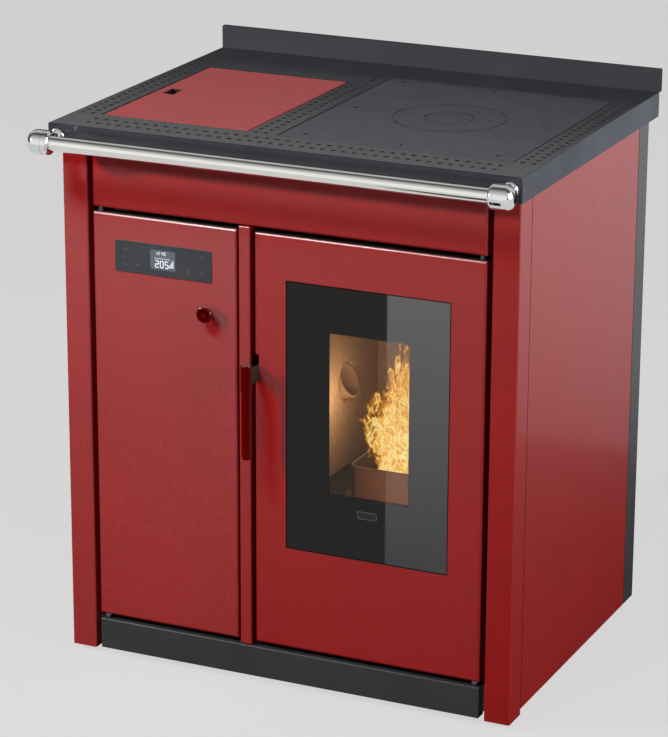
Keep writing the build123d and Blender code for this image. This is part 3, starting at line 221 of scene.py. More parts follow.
shader.inputs["Base Color"].default_value = linear("#3a322c")
shader.inputs["Roughness"].default_value = 0.9
draw = random.Random(7)
pellets = bmesh.new()
for layer in range(4):
    for _ in range(45):
        turn = draw.uniform(0, math.pi)
        run = Vector((math.cos(turn), math.sin(turn), draw.uniform(-0.25, 0.25))).normalized()
        side = run.cross(Vector((0, 0, 1))).normalized()
        rise = side.cross(run)
        centre = Vector((pot_middle.x + draw.uniform(-1, 1) * (pot_half_width - ember_margin),
                         pot_middle.y + draw.uniform(-1, 1) * (pot_half_depth - ember_margin),
                         ember_floor + layer * layer_rise))
        half = draw.uniform(0.006, 0.011)
        loft(pellets, [circle_ring(centre + run * step, side, rise, radius, radius, 8)
                       for step, radius in ((-half, pellet_end_radius), (-half + pellet_end, pellet_radius),
                                            (half - pellet_end, pellet_radius), (half, pellet_end_radius))])
make("ember_bed", pellets, glowing_pellets, "pot")

# Flames: hot gas above the pot, in curved sheets that rise, sway and taper one behind the other.
# Burning gas: yellow where it is dense and orange where it thins out, torn into ragged wisps about 20 mm
# wide with pale bright strands between them, and clear outside.
burning_gas, tree, shader, place = start_material("burning_gas")
sheet_place = add(tree, "TexCoord").outputs["UV"]
drawn_out = add(tree, "Mapping", {"Scale": (1, 1, 0.6)}, {"Vector": place})
eddies = add(tree, "TexNoise", {"Scale": per_metre(32), "Detail": 2.0},
             {"Vector": drawn_out.outputs["Vector"]})
push = add(tree, "VectorMath", {1: (0.06, 0.06, 0.06)}, {0: eddies.outputs["Color"]}, operation="MULTIPLY")
swirled = add(tree, "VectorMath", links={0: drawn_out.outputs["Vector"], 1: push.outputs["Vector"]},
              operation="ADD").outputs["Vector"]
body = add(tree, "TexNoise", {"Scale": per_metre(19), "Detail": 6.0}, {"Vector": swirled})
lines = add(tree, "TexNoise", {"Scale": per_metre(11), "Detail": 4.0}, {"Vector": swirled})
from_line = add(tree, "Math", {1: 0.5}, {0: lines.outputs["Fac"]}, operation="SUBTRACT")
off_line = add(tree, "Math", links={0: from_line.outputs["Value"]}, operation="ABSOLUTE")
strand = add(tree, "MapRange", {"From Min": 0.0, "From Max": 0.08, "To Min": 1.0, "To Max": 0.0},
             {"Value": off_line.outputs["Value"]})
sheet_across = add(tree, "SeparateXYZ", links={"Vector": sheet_place})
inside = add(tree, "MapRange", {"From Min": 0.0, "From Max": 0.55, "To Min": -0.34, "To Max": 0.16},
             {"Value": sheet_across.outputs["X"]})
fading = add(tree, "MapRange", {"From Min": 0.35, "From Max": 1.0, "To Min": 0.0, "To Max": -0.22},
             {"Value": sheet_across.outputs["Y"]})
gathered = add(tree, "Math", links={0: body.outputs["Fac"], 1: inside.outputs["Result"]}, operation="ADD")
gathered = add(tree, "Math", links={0: gathered.outputs["Value"], 1: fading.outputs["Result"]},
               operation="ADD")
density = add(tree, "MapRange", {"From Min": 0.42, "From Max": 0.62}, {"Value": gathered.outputs["Value"]})
strong = add(tree, "Math", {1: 0.8}, {0: strand.outputs["Result"]}, operation="MULTIPLY")
strong = add(tree, "Math", links={0: strong.outputs["Value"], 1: density.outputs["Result"]},
             operation="MULTIPLY")
heat = add(tree, "Math", {1: 0.45}, {0: density.outputs["Result"]}, operation="MULTIPLY")
heat = add(tree, "Math", links={0: heat.outputs["Value"], 1: strong.outputs["Value"]}, operation="ADD")
flame_colour = add(tree, "ValToRGB", links={"Fac": heat.outputs["Value"]})
flame_colour.color_ramp.elements[0].position = 0.05
flame_colour.color_ramp.elements[0].color = linear("#8f3f10")
flame_colour.color_ramp.elements[1].position = 1.0
flame_colour.color_ramp.elements[1].color = linear("#fdf0b0")
for position, colour in ((0.3, "#dd8e26"), (0.55, "#f2b840"), (0.75, "#f8d970")):
    flame_colour.color_ramp.elements.new(position).color = linear(colour)
cover = add(tree, "MapRange", {"From Min": 0.0, "From Max": 0.7, "To Min": 0.0, "To Max": 0.85},
            {"Value": heat.outputs["Value"]})
tree.links.new(flame_colour.outputs["Color"], shader.inputs["Emission Color"])
tree.links.new(cover.outputs["Result"], shader.inputs["Alpha"])
shader.inputs["Emission Strength"].default_value = 1.12
shader.inputs["Base Color"].default_value = linear("#000000")
shader.inputs["Specular IOR Level"].default_value = 0.0


def flame_sheet(mesh, foot, height, half_width, turn, lean, sway):
    """A curved sheet of flame; its map runs from the edges to the middle and from foot to tip."""
    across = Vector((math.cos(turn), math.sin(turn), 0))
    through = Vector((-math.sin(turn), math.cos(turn), 0))
    phase = draw.uniform(0, 2 * math.pi)
    map_layer = mesh.loops.layers.uv.verify()
    rows = 24
    columns = 10
    grid = []
    for j in range(rows + 1):
        t = j / rows
        spread = half_width * (0.72 + 0.5 * math.sin(math.pi * t ** 0.8)) * (1 - 0.7 * t * t)
        drift = lean * t + sway * t * math.sin(5 * t + phase)
        for i in range(columns + 1):
            u = 2 * i / columns - 1
            bend = 0.25 * half_width * (1 - u * u) * math.sin(4 * t + phase)
            point = foot + across * (spread * u + drift) + through * bend + Vector((0, 0, height * t))
            grid.append((mesh.verts.new(point), (1 - abs(u), t)))
    for j in range(rows):
        for i in range(columns):
            first = j * (columns + 1) + i
            corners = [grid[k] for k in (first, first + 1, first + columns + 2, first + columns + 1)]
            face = mesh.faces.new([vertex for vertex, _ in corners])
            face.smooth = True
            for loop, (_, place_on_map) in zip(face.loops, corners):
                loop[map_layer].uv = place_on_map


flame_middle = pot_middle.x - 0.002
flame_foot = pot_high.z - 0.030
flame_height = 0.235
taller_aside = 0.05
flames_half_width = 0.030
flames_depth = 0.080
toward_camera = math.radians(25)
sheet_count = 14
flames = bmesh.new()
for i in range(sheet_count):
    share = i / (sheet_count - 1)
    aside = draw.uniform(-1, 1)
    foot = Vector((flame_middle + aside * flames_half_width, pot_middle.y + (share - 0.5) * flames_depth,
                   flame_foot))
    flame_sheet(flames, foot, flame_height + taller_aside * aside + draw.uniform(-0.03, 0.03),
                draw.uniform(0.044, 0.060), toward_camera + draw.uniform(-0.7, 0.7),
                draw.uniform(-0.01, 0.025), draw.uniform(-0.02, 0.02))
make("flame_sheets", flames, burning_gas, "pot")

# Igniter, bushes, keeper, auger screw and fan wheel: turned or pressed steel that is left bright.
# Turned steel: a warm bright metal with fine rings from the tool.
turned_steel = surface("turned_bright_steel", ("#b3afa8", "#c6c2bb"), blotch=30, grain=0.9, relief=0.01,
                       roughness=(0.24, 0.36), stretch=(1, 1, 3), Metallic=1.0)
paint(turned_steel, "igniter", "service_door_bushes", "fire_door_bushes", "latch_keeper", "auger_screw",
      "fan_impeller")

# Ash drawer, hopper, fan case and air pipe: folded and rolled sheet, left in bare zinc.
paint(zinc_coated_steel, "ash_drawer", "pellet_hopper", "smoke_fan_housing", "air_inlet_pipe")

# Auger tube: drawn steel that reaches through the lining and drops the pellets above the pot.
# Heat-browned steel: a dull brown scale, warmer and darker in patches.
browned_steel = surface("heat_browned_steel", ("#7a5f4b", "#93745a"), blotch=30, grain=2, relief=0.03,
                        roughness=(0.55, 0.7))
paint(browned_steel, "auger_tube")

# Gearmotor, fan motor, control box, power inlet and its rocker: housings moulded in black polyamide.
paint(moulded_polyamide, "auger_gearmotor", "smoke_fan_motor", "control_box", "power_inlet", "power_switch")

# Worktop and upstand: one folded steel sheet with rows of punched vents, and a folded strip screwed behind.
# Smooth powder coat: anthracite that mirrors the room softly, its grains of 0.5 mm drawn at 2 mm to show.
anthracite_coat = surface("anthracite_powder_coat", ("#28292d", "#2d2e32"), blotch=90, grain=2.0,
                          relief=0.012, roughness=(0.13, 0.19))
paint(anthracite_coat, "worktop")

# Grained powder coat: the same anthracite on the upstand, coarser and duller, so that it spreads the light.
grained_anthracite = surface("grained_anthracite_coat", ("#38393d", "#3d3e42"), blotch=90, grain=2.0,
                             relief=0.05, roughness=(0.3, 0.4))
paint(grained_anthracite, "rear_upstand")

# Cooking plate: flat rolled steel, ground smooth and blued by heat, with two turned rings, screwed down.
# Blued steel: a dark blue-grey metal with long faint grinding marks and cloudy heat tints.
blued_steel = surface("blued_ground_steel", ("#2f333d", "#393e4a"), blotch=75, grain=14, relief=0.001,
                      roughness=(0.26, 0.34), stretch=(0.5, 1, 1), Metallic=0.7)
paint(blued_steel, "cooking_plate")

# Plate screws: eight low domed steel screws with a hexagon socket, in the rim of the ground plate.
# Blackened steel: a dull mid-grey metal, which the turned hinge pins of the doors have too.


def screw_heads(name, places, outward, across, radius, rise, material, body):
    """Domed screw heads with a hexagon socket, all in one piece."""
    mesh = bmesh.new()
    up = outward.cross(across)
    for place in places:
        profile = [(1.0, 0.0), (0.97, 0.4), (0.8, 0.85), (0.58, 1.0)]
        rings = [circle_ring(place + outward * (rise * h), across, up, radius * r, radius * r, 24)
                 for r, h in profile]
        socket = []
        for depth in (1.0, 0.25):
            points = []
            for i in range(24):
                angle = 2 * math.pi * i / 24
                flat = math.cos(math.pi / 6) / math.cos((angle + math.pi / 6) % (math.pi / 3) - math.pi / 6)
                reach = radius * 0.5 * flat
                points.append(place + outward * (rise * depth) + across * (reach * math.cos(angle))
                              + up * (reach * math.sin(angle)))
            socket.append(points)
        loft(mesh, rings + socket)
    return make(name, mesh, material, body)


plate_low, plate_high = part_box("cooking_plate")
screws_low, screws_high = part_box("plate_screws")
head_radius = 0.004
screw_inset_x = screws_low.x + head_radius - plate_low.x
screw_inset_y = screws_low.y + head_radius - plate_low.y
screw_columns = (plate_low.x + screw_inset_x, (plate_low.x + plate_high.x) / 2, plate_high.x - screw_inset_x)
screw_rows = (plate_low.y + screw_inset_y, (plate_low.y + plate_high.y) / 2, plate_high.y - screw_inset_y)
screw_places = [Vector((x, y, plate_high.z)) for i, x in enumerate(screw_columns)
                for j, y in enumerate(screw_rows) if (i, j) != (1, 1)]
blackened_steel = surface("blackened_screw_steel", ("#57595f", "#66686e"), blotch=10, grain=1, relief=0.01,
                          roughness=(0.3, 0.4), Metallic=0.9)
paint(blackened_steel, "door_hinge_pins")
plate_screw_heads = screw_heads("plate_screw_heads", screw_places, Vector((0, 0, 1)), Vector((1, 0, 0)),
                                head_radius, 0.0012, blackened_steel, "carcass")
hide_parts("plate_screws")

# Handrail: a stainless tube ground along its length, held between two cast and polished barrels.
# Brushed stainless: long fine lines along the tube stretch its highlight.
brushed_stainless = surface("brushed_stainless_steel", ("#ebe9e6", "#f3f1ee"), blotch=60, grain=1.2,
                            relief=0.004, roughness=(0.1, 0.16), stretch=(0.02, 1, 1), Metallic=1.0)
paint(brushed_stainless, "handrail_tube")

# Handrail ends: zinc castings, polished and chrome plated, screwed through the skirt from behind.
# Chrome plate: a clear bright mirror with only the faintest unevenness from polishing.
chrome_plate = surface("polished_chrome_plate", ("#e4e5e7", "#ecedef"), blotch=30, grain=12, relief=0.004,
                       roughness=(0.04, 0.08), Metallic=1.0)
paint(chrome_plate, "handrail_ends")

# Service door: a folded and enamelled cover on two bushes, with a pressed knob screwed on from behind.
# Polished enamel: the red of the small turned pieces, smooth enough to mirror the room in streaks, with a
# base far darker than the panels' red as painted shade.
# Both doors' upward-facing upper edges are painted near black, as painted shade for the dark gap under the
# fascia.
red_enamel_with_painted_top_shade = red_enamel.copy()
red_enamel_with_painted_top_shade.name = "red_enamel_with_painted_shade_edge"
tree = red_enamel_with_painted_top_shade.node_tree
shader = tree.nodes["Principled BSDF"]
# Painted shade: faces that look up are mixed to near black, standing for the shade in the gap under the
# fascia.
facing = add(tree, "SeparateXYZ", links={"Vector": add(tree, "NewGeometry").outputs["Normal"]})
upward = add(tree, "MapRange", {"From Min": 0.8, "From Max": 0.95}, {"Value": facing.outputs["Z"]})
red = shader.inputs["Base Color"].links[0].from_socket
edged = add(tree, "MixRGB", {"Color2": linear("#0a0808")}, {"Fac": upward.outputs["Result"], "Color1": red})
tree.links.new(edged.outputs["Color"], shader.inputs["Base Color"])
paint(red_enamel_with_painted_top_shade, "service_door")
# Painted shade: the knob and handle get a much darker red than the panels, standing for their shaded sides.
polished_red_enamel_darkened_as_shade = surface("polished_red_enamel_darkened_as_shade", ("#4c0302", "#560403"), blotch=40, grain=6,
                              relief=0.004, roughness=(0.07, 0.1), Specular_IOR_Level=0.7)
paint(polished_red_enamel_darkened_as_shade, "door_knob")

# Control panel: a moulded polycarbonate fascia with touch keys behind it, clipped into the door.
# Moulded polycarbonate: dark grey with an even satin grain.
satin_polycarbonate = surface("satin_polycarbonate", ("#36373b", "#3b3c40"), blotch=60, grain=0.9,
                              relief=0.015, roughness=(0.3, 0.38))
paint(satin_polycarbonate, "control_panel")
panel_low, panel_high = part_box("control_panel")
panel_left = panel_low.x
panel_top = panel_high.z
panel_front = panel_low.y


def prism(mesh, outline, front, back):
    """A flat plate with that outline of (x, z) points, facing the front."""
    loft(mesh, [[Vector((x, back, z)) for x, z in outline], [Vector((x, front, z)) for x, z in outline]])


def bar(x0, z0, x1, z1, width):
    """The outline of a straight stroke."""
    run = Vector((x1 - x0, z1 - z0)).normalized()
    off = Vector((-run.y, run.x)) * (width / 2)
    return [(x0 + off.x, z0 + off.y), (x1 + off.x, z1 + off.y), (x1 - off.x, z1 - off.y),
            (x0 - off.x, z0 - off.y)]


# Touch marks: faint arrows, a ring and a dash printed in grey over the keys.
# Screen-printed ink: a flat mid grey, only just lighter than the panel.
print_height = 0.00008
grey_ink = surface("grey_screen_print", ("#5d5f64", "#66686d"), blotch=8, grain=0.6, relief=0.002,
                   roughness=(0.4, 0.5))
marks = bmesh.new()
arrow_half = 0.0035
stroke = 0.0007
for across, down, way in ((0.019, 0.014, 1), (0.020, 0.039, -1), (0.152, 0.0125, 1), (0.153, 0.037, -1)):
    x = panel_left + across
    z = panel_top - down
    rise = way * arrow_half / 2
    for side in (-1, 1):
        prism(marks, bar(x + side * arrow_half, z - rise, x, z + rise, stroke), panel_front - print_height,
              panel_front)
dash_x = panel_left + 0.041
dash_z = panel_top - 0.037
prism(marks, bar(dash_x - arrow_half, dash_z, dash_x + arrow_half, dash_z, stroke),
      panel_front - print_height, panel_front)
for across, down, size in ((0.016, 0.026, 0.0011), (0.130, 0.037, 0.0032)):
    centre = Vector((panel_left + across, panel_front, panel_top - down))
    rings = []
    for radius, lift in ((size, 0), (size, print_height), (size - stroke, print_height), (size - stroke, 0)):
        rings.append(circle_ring(centre - Vector((0, lift, 0)), Vector((1, 0, 0)), Vector((0, 0, 1)), radius,
                                 radius, 24))
    loft(marks, rings, closed=True)
make("touch_key_marks", marks, grey_ink, "service_leaf")

# Display: a liquid-crystal module behind a clear window, lit from its edges.
# Liquid crystal: a grey-blue glow that is a little brighter in its middle.
crystal, tree, shader, place = start_material("lit_liquid_crystal")
screen_low, screen_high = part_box("display_screen")
screen_middle = (screen_low + screen_high) / 2
from_middle = add(tree, "VectorMath", {1: screen_middle}, {0: place}, operation="DISTANCE")
glow = add(tree, "MapRange", {"From Min": 0.0, "From Max": 0.03, "To Min": 0.0, "To Max": 1.0},
           {"Value": from_middle.outputs["Value"]})
lit = add(tree, "MixRGB", {"Color1": linear("#7d838d"), "Color2": linear("#666c77")},
          {"Fac": glow.outputs["Result"]})
tree.links.new(lit.outputs["Color"], shader.inputs["Emission Color"])
shader.inputs["Emission Strength"].default_value = 0.32
shader.inputs["Base Color"].default_value = linear("#4a4d54")
shader.inputs["Roughness"].default_value = 0.15
paint(crystal, "display_screen")

# Figures on the display: plain seven-bar digits with a row of level bars, lit paler than the ground.
# Lit segments: an even pale grey glow.
lit_segments, tree, shader, place = start_material("lit_display_segments")
speckle = add(tree, "TexNoise", {"Scale": per_metre(1.5)}, {"Vector": place})
pale = add(tree, "MixRGB", {"Color1": linear("#c3c8cf"), "Color2": linear("#e2e6ea")},
           {"Fac": speckle.outputs["Fac"]})
tree.links.new(pale.outputs["Color"], shader.inputs["Emission Color"])
shader.inputs["Emission Strength"].default_value = 0.8
shader.inputs["Base Color"].default_value = linear("#9aa0a8")
lit_bars = {"0": "abcdef", "1": "bc", "2": "abged", "4": "fgbc", "5": "afgcd"}
figures = bmesh.new()


def digit(figure, x, z, width, height):
    """Adds one figure with its lower left corner at x, z."""
    ends = {"a": (0, 2, 1, 2), "b": (1, 1, 1, 2), "c": (1, 0, 1, 1), "d": (0, 0, 1, 0), "e": (0, 0, 0, 1),
            "f": (0, 1, 0, 2), "g": (0, 1, 1, 1)}
    for name in lit_bars[figure]:
        x0, z0, x1, z1 = ends[name]
        outline = bar(x + x0 * width, z + z0 * height / 2, x + x1 * width, z + z1 * height / 2, width * 0.3)
        prism(figures, outline, screen_low.y - print_height, screen_low.y)


figures_left = screen_low.x + 0.009
for i, figure in enumerate("1240"):
    colon_gap = 0.0015 if i > 1 else 0.0
    digit(figure, figures_left + i * 0.0045 + colon_gap, screen_high.z - 0.0075, 0.0026, 0.0048)
for i, figure in enumerate("205"):
    digit(figure, figures_left + i * 0.0085, screen_low.z + 0.004, 0.0052, 0.0105)
for i in range(5):
    x = screen_high.x - 0.011 + i * 0.0018
    prism(figures, bar(x, screen_low.z + 0.005, x, screen_low.z + 0.008 + i * 0.0025, 0.0011),
          screen_low.y - print_height, screen_low.y)
dash_row = screen_low.z + 0.0185
for i in range(7):
    x = screen_low.x + 0.008 + i * 0.004
    prism(figures, bar(x, dash_row, x + 0.0022, dash_row, 0.0012), screen_low.y - print_height, screen_low.y)
make("display_figures", figures, lit_segments, "service_leaf")

# Fire door: a folded and enamelled cover over a welded steel frame that carries glass, seals and latch.
# The fire door's upper edge carries the same painted shade.
paint(red_enamel_with_painted_top_shade, "fire_door_panel")

# Door glass: a pane of glass ceramic, printed black round a clear window and ground on its edges.
# Printed glass ceramic: a deep black behind a smooth gloss, with the faint ripple of rolled glass.
glass_low, glass_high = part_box("door_glass")
window_left = glass_low.x + 0.073
window_right = glass_high.x - 0.067
window_bottom = glass_low.z + 0.102
window_top = glass_high.z - 0.075
printed_glass = surface("black_printed_glass_ceramic", ("#060606", "#0a0a0a"), blotch=90, grain=60,
                        relief=0.004, roughness=(0.02, 0.04), Specular_IOR_Level=0.3)
clear_glass, tree, shader, place = start_material("clear_glass_ceramic")
smoke_film = add(tree, "TexNoise", {"Scale": per_metre(70), "Detail": 3.0}, {"Vector": place})
film = add(tree, "MixRGB", {"Color1": linear("#f4ead9"), "Color2": linear("#e6d5bd")},
           {"Fac": smoke_film.outputs["Fac"]})
tree.links.new(film.outputs["Color"], shader.inputs["Base Color"])
shader.inputs["Transmission Weight"].default_value = 1.0
shader.inputs["Roughness"].default_value = 0.0
shader.inputs["IOR"].default_value = 1.27
pane = bmesh.new()
ground_edge = 0.0008
columns = (glass_low.x, glass_low.x + ground_edge, window_left, window_right, glass_high.x - ground_edge,
           glass_high.x)
rows = (glass_low.z, glass_low.z + ground_edge, window_bottom, window_top, glass_high.z - ground_edge,
        glass_high.z)
sheets = []
for face, inward in ((glass_low.y, 1), (glass_high.y, -1)):
    sheet = {}
    for i, x in enumerate(columns):
        for j, z in enumerate(rows):
            rim = i in (0, 5) or j in (0, 5)
            sheet[i, j] = pane.verts.new((x, face + inward * ground_edge * rim, z))
    sheets.append(sheet)
    for i in range(5):
        for j in range(5):
            corners = [sheet[i, j], sheet[i + 1, j], sheet[i + 1, j + 1], sheet[i, j + 1]]
            pane.faces.new(corners).material_index = int(i == 2 and j == 2)
rim_places = ([(i, 0) for i in range(5)] + [(5, j) for j in range(5)] + [(i, 5) for i in range(5, 0, -1)]
              + [(0, j) for j in range(5, 0, -1)])
for this, following in zip(rim_places, rim_places[1:] + rim_places[:1]):
    pane.faces.new((sheets[0][this], sheets[0][following], sheets[1][following], sheets[1][this]))
glass_pane = make("glass_pane", pane, printed_glass, "fire_leaf")
glass_pane.data.materials.append(clear_glass)
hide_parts("door_glass")

# Small plate: thin aluminium with a raised rim, bonded to the glass under the window.
# Etched aluminium: a soft dark grey metal, with a rim that is polished a little brighter.
etched_aluminium = surface("etched_dark_aluminium", ("#232325", "#29292b"), blotch=20, grain=1, relief=0.01,
                           roughness=(0.35, 0.45), Metallic=0.4)
rim_aluminium = surface("polished_aluminium_rim", ("#6e6f72", "#7c7d80"), blotch=12, grain=1, relief=0.006,
                        roughness=(0.28, 0.36), Metallic=0.8)
badge_middle = Vector((0.1425, glass_low.y, 0.3185))
badge_half_width = 0.0168
badge_half_height = 0.0062
badge_corner = 0.003
badge_rise = 0.00018
rim_width = 0.0008
rim_front = glass_low.y - 0.0003


def rounded_outline(half_width, half_height, corner, middle):
    """Points of an upright rectangle with round corners, as x and z."""
    points = []
    for quarter, (sx, sz) in enumerate(((1, 1), (-1, 1), (-1, -1), (1, -1))):
        for step in range(6):
            angle = math.pi / 2 * (quarter + step / 5)
            points.append((middle.x + sx * (half_width - corner) + corner * math.cos(angle),
                           middle.z + sz * (half_height - corner) + corner * math.sin(angle)))
    return points


outer = rounded_outline(badge_half_width, badge_half_height, badge_corner, badge_middle)
inner = rounded_outline(badge_half_width - rim_width, badge_half_height - rim_width, badge_corner - rim_width,
                        badge_middle)
badge = bmesh.new()
prism(badge, inner, glass_low.y - badge_rise, glass_low.y)
make("bare_badge", badge, etched_aluminium, "fire_leaf")
rim = bmesh.new()
loft(rim, [[Vector((x, y, z)) for x, z in outline]
           for outline, y in ((outer, glass_low.y), (outer, rim_front), (inner, rim_front),
                              (inner, glass_low.y))], closed=True)
make("badge_rim", rim, rim_aluminium, "fire_leaf")

# Glass gasket: a flat tape of woven glass fibre, glued round the rear of the pane as a heat-proof cushion.
# Woven tape: grey yarns 1.5 mm wide that cross over and under.
woven_tape, tree, shader, place = start_material("woven_glass_fibre_tape")
weave = []
for axis in ("X", "Z"):
    weave.append(add(tree, "TexWave", {"Scale": per_metre(1.5) / 6.28, "Distortion": 0.4}, {"Vector": place},
                     wave_type="BANDS", bands_direction=axis))
over_under = add(tree, "Math", links={0: weave[0].outputs["Fac"], 1: weave[1].outputs["Fac"]},
                 operation="MULTIPLY")
yarn = add(tree, "MixRGB", {"Color1": linear("#4f4d49"), "Color2": linear("#8b887f")},
           {"Fac": over_under.outputs["Value"]})
ridges = add(tree, "Bump", {"Strength": 0.8, "Distance": 0.0003}, {"Height": over_under.outputs["Value"]})
tree.links.new(yarn.outputs["Color"], shader.inputs["Base Color"])
tree.links.new(ridges.outputs["Normal"], shader.inputs["Normal"])
shader.inputs["Roughness"].default_value = 0.9
tape_low, tape_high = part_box("glass_gasket")
tape_width = 0.016


def seal_path(low, high, width, corner, steps):
    """Points and outward directions along the middle of a flat ring with round corners."""
    half_x = (high.x - low.x - width) / 2
    half_z = (high.z - low.z - width) / 2
    middle = (low + high) / 2
    path = []
    for quarter, (sx, sz) in enumerate(((1, 1), (-1, 1), (-1, -1), (1, -1))):
        for step in range(7):
            angle = math.pi / 2 * (quarter + step / 6)
            out = Vector((math.cos(angle), 0, math.sin(angle)))
            turn = middle + Vector((sx * (half_x - corner), 0, sz * (half_z - corner)))
            path.append((turn + out * corner, out))
    even = []
    for (start, out0), (end, out1) in zip(path, path[1:] + path[:1]):
        count = max(1, round((end - start).length / steps))
        for i in range(count):
            share = i / count
            even.append((start.lerp(end, share), out0.lerp(out1, share).normalized()))
    return even


tape = bmesh.new()
tape_half = (tape_high.y - tape_low.y) / 2
profile = [(1, 0.6), (0.94, 1), (-0.94, 1), (-1, 0.6), (-1, -0.6), (-0.94, -1), (0.94, -1), (1, -0.6)]
loft(tape, [[point + out * (tape_width / 2 * u) + Vector((0, tape_half * v, 0)) for u, v in profile]
            for point, out in seal_path(tape_low, tape_high, tape_width, 0.010, 0.02)], closed=True)
gasket_tape = make("gasket_tape", tape, woven_tape, "fire_leaf")
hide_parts("glass_gasket")

# Rope seal: a round braided rope of glass fibre, pressed flat in a bead of cement round the door's rear.
# Braided rope: eight graphite-grey strands that cross left and right over a soft core.
rope_low, rope_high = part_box("door_rope_seal")
rope_width = 0.012
rope_half = (rope_high.y - rope_low.y) / 2
graphite_fibre = surface("graphite_glass_fibre", ("#34332f", "#54514b"), blotch=12, grain=1.0, relief=0.15,
                         roughness=(0.8, 0.95))
rope = bmesh.new()
strand_radius = 0.0017
core_across = rope_width / 2 - strand_radius
core_deep = rope_half - strand_radius
braid_pitch = 0.034
rope_route = seal_path(rope_low, rope_high, rope_width, 0.014, 0.003)
back_and_forth = Vector((0, 1, 0))
loft(rope, [circle_ring(point, out, back_and_forth, core_across, core_deep, 12)
            for point, out in rope_route], closed=True)
rope_length = sum((b[0] - a[0]).length for a, b in zip(rope_route, rope_route[1:] + rope_route[:1]))
rope_turns = round(rope_length / braid_pitch)
for strand in range(8):
    hand = 1 if strand % 2 else -1
    places = []
    for i, (point, out) in enumerate(rope_route):
        angle = hand * 2 * math.pi * rope_turns * i / len(rope_route) + strand * math.pi / 4
        places.append(point + out * (core_across * math.cos(angle))
                      + back_and_forth * (core_deep * math.sin(angle)))
    rings = []
    for i, place in enumerate(places):
        run = (places[(i + 1) % len(places)] - places[i - 1]).normalized()
        side = run.cross(back_and_forth).normalized()
        rings.append(circle_ring(place, side, side.cross(run), strand_radius, strand_radius, 6))
    loft(rope, rings, closed=True)
braided_rope = make("braided_rope_seal", rope, graphite_fibre, "fire_leaf")
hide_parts("door_rope_seal")

# Door handle: a turned steel bar in red enamel that hangs from a flat lever, lifted to free the latch.
# The grip carries the darker red of the polished enamel, which is painted shade.
paint(polished_red_enamel_darkened_as_shade, "handle_grip")
paint(stove_paint, "latch_lever")

# Hopper lid: a flat folded lid in red enamel, which turns on two studs at its right edge.
paint(red_enamel, "hopper_lid")

# Finger cup: a moulded polyamide sleeve that lines the finger hole of the lid, clipped in from below. Its
# near-black wall is painted shade that makes the hole read dark.
lid_low, lid_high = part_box("hopper_lid")
hole_low = Vector((lid_low.x + 0.0155, (lid_low.y + lid_high.y) / 2 - 0.01825, lid_low.z + 0.0005))
hole_high = Vector((hole_low.x + 0.0205, hole_low.y + 0.0365, lid_high.z - 0.0004))
cup_wall = 0.0006


def hole_ring(inset, z):
    """The corners of the finger hole, drawn in by an inset."""
    return [Vector((x, y, z)) for x, y in ((hole_low.x + inset, hole_low.y + inset), (hole_high.x - inset,
            hole_low.y + inset), (hole_high.x - inset, hole_high.y - inset), (hole_low.x + inset,
            hole_high.y - inset))]


cup = bmesh.new()
loft(cup, [hole_ring(0, hole_low.z), hole_ring(0, hole_high.z), hole_ring(cup_wall, hole_high.z),
           hole_ring(cup_wall, hole_low.z)], closed=True)
make("lid_finger_cup_painted_shade", cup, moulded_polyamide, "lid")

# Back panel screws: button-head screws of zinc-coated steel along the edges of the back sheet.
back_low, back_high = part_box("back_panel")
screw_column = 0.29
screw_edge = 0.032
side_rows = 6
screw_step = (back_high.z - back_low.z - 2 * screw_edge) / (side_rows - 1)
back_places = [Vector((x, back_high.y, back_low.z + screw_edge + i * screw_step))
               for x in (-screw_column, screw_column) for i in range(side_rows)]
screw_heads("back_panel_screws", back_places, Vector((0, 1, 0)), Vector((1, 0, 0)), 0.0045, 0.0022,
            zinc_coated_steel, "carcass")

# Floor: a plain pale studio floor that reaches past every edge of the picture.
# Painted board: an even pale grey that keeps a soft shadow. Metal and glass mirror it as pale as it looks.
# It sends no light of its own to the paints, which a fill lamp does in its place.
floor_half = 40.0
shadow_share = 0.1
studio_floor, tree, shader, _ = start_material("pale_studio_floor")
tree.nodes.remove(shader)
pale_grey = linear("#d7d6d6")
path = add(tree, "LightPath")
shown = add(tree, "Math", links={0: path.outputs["Is Camera Ray"], 1: path.outputs["Is Transmission Ray"]},
            operation="MAXIMUM")
board = add(tree, "BsdfDiffuse", {"Color": pale_grey})
even_glow = add(tree, "Emission", {"Color": pale_grey, "Strength": 1.02})
shaded_glow = add(tree, "MixShader", {0: shadow_share}, {1: even_glow.outputs[0], 2: board.outputs[0]})
seen = add(tree, "MixShader", links={0: shown.outputs["Value"], 2: shaded_glow.outputs[0]})
mirrored = add(tree, "MixShader", links={0: path.outputs["Is Glossy Ray"], 1: seen.outputs[0],
                                         2: even_glow.outputs[0]})
tree.links.new(mirrored.outputs[0], tree.nodes["Material Output"].inputs["Surface"])
floor_mesh = bpy.data.meshes.new("studio_floor")
floor_mesh.from_pydata([(-floor_half, -floor_half, 0), (floor_half, -floor_half, 0),
                        (floor_half, floor_half, 0), (-floor_half, floor_half, 0)], [], [(0, 1, 2, 3)])
floor_mesh.materials.append(studio_floor)
studio_floor_piece = bpy.data.objects.new("studio_floor", floor_mesh)
bpy.context.scene.collection.objects.link(studio_floor_piece)


def light_only(piece, receivers):
    """Keeps the glow of a floor, lamp or card for some pieces, where any are given."""
    if receivers:
        group = bpy.data.collections.new(piece.name + "_pieces")
        for receiver in receivers:
            group.objects.link(receiver)
        piece.light_linking.receiver_collection = group


mirror_finishes = (zinc_coated_steel, turned_steel, blued_steel, blackened_steel, brushed_stainless,
                   chrome_plate, rim_aluminium, etched_aluminium, printed_glass)
light_only(studio_floor_piece, [piece for piece in bpy.context.scene.objects
                                if piece.type == "MESH" and piece.data.materials[0] in mirror_finishes])

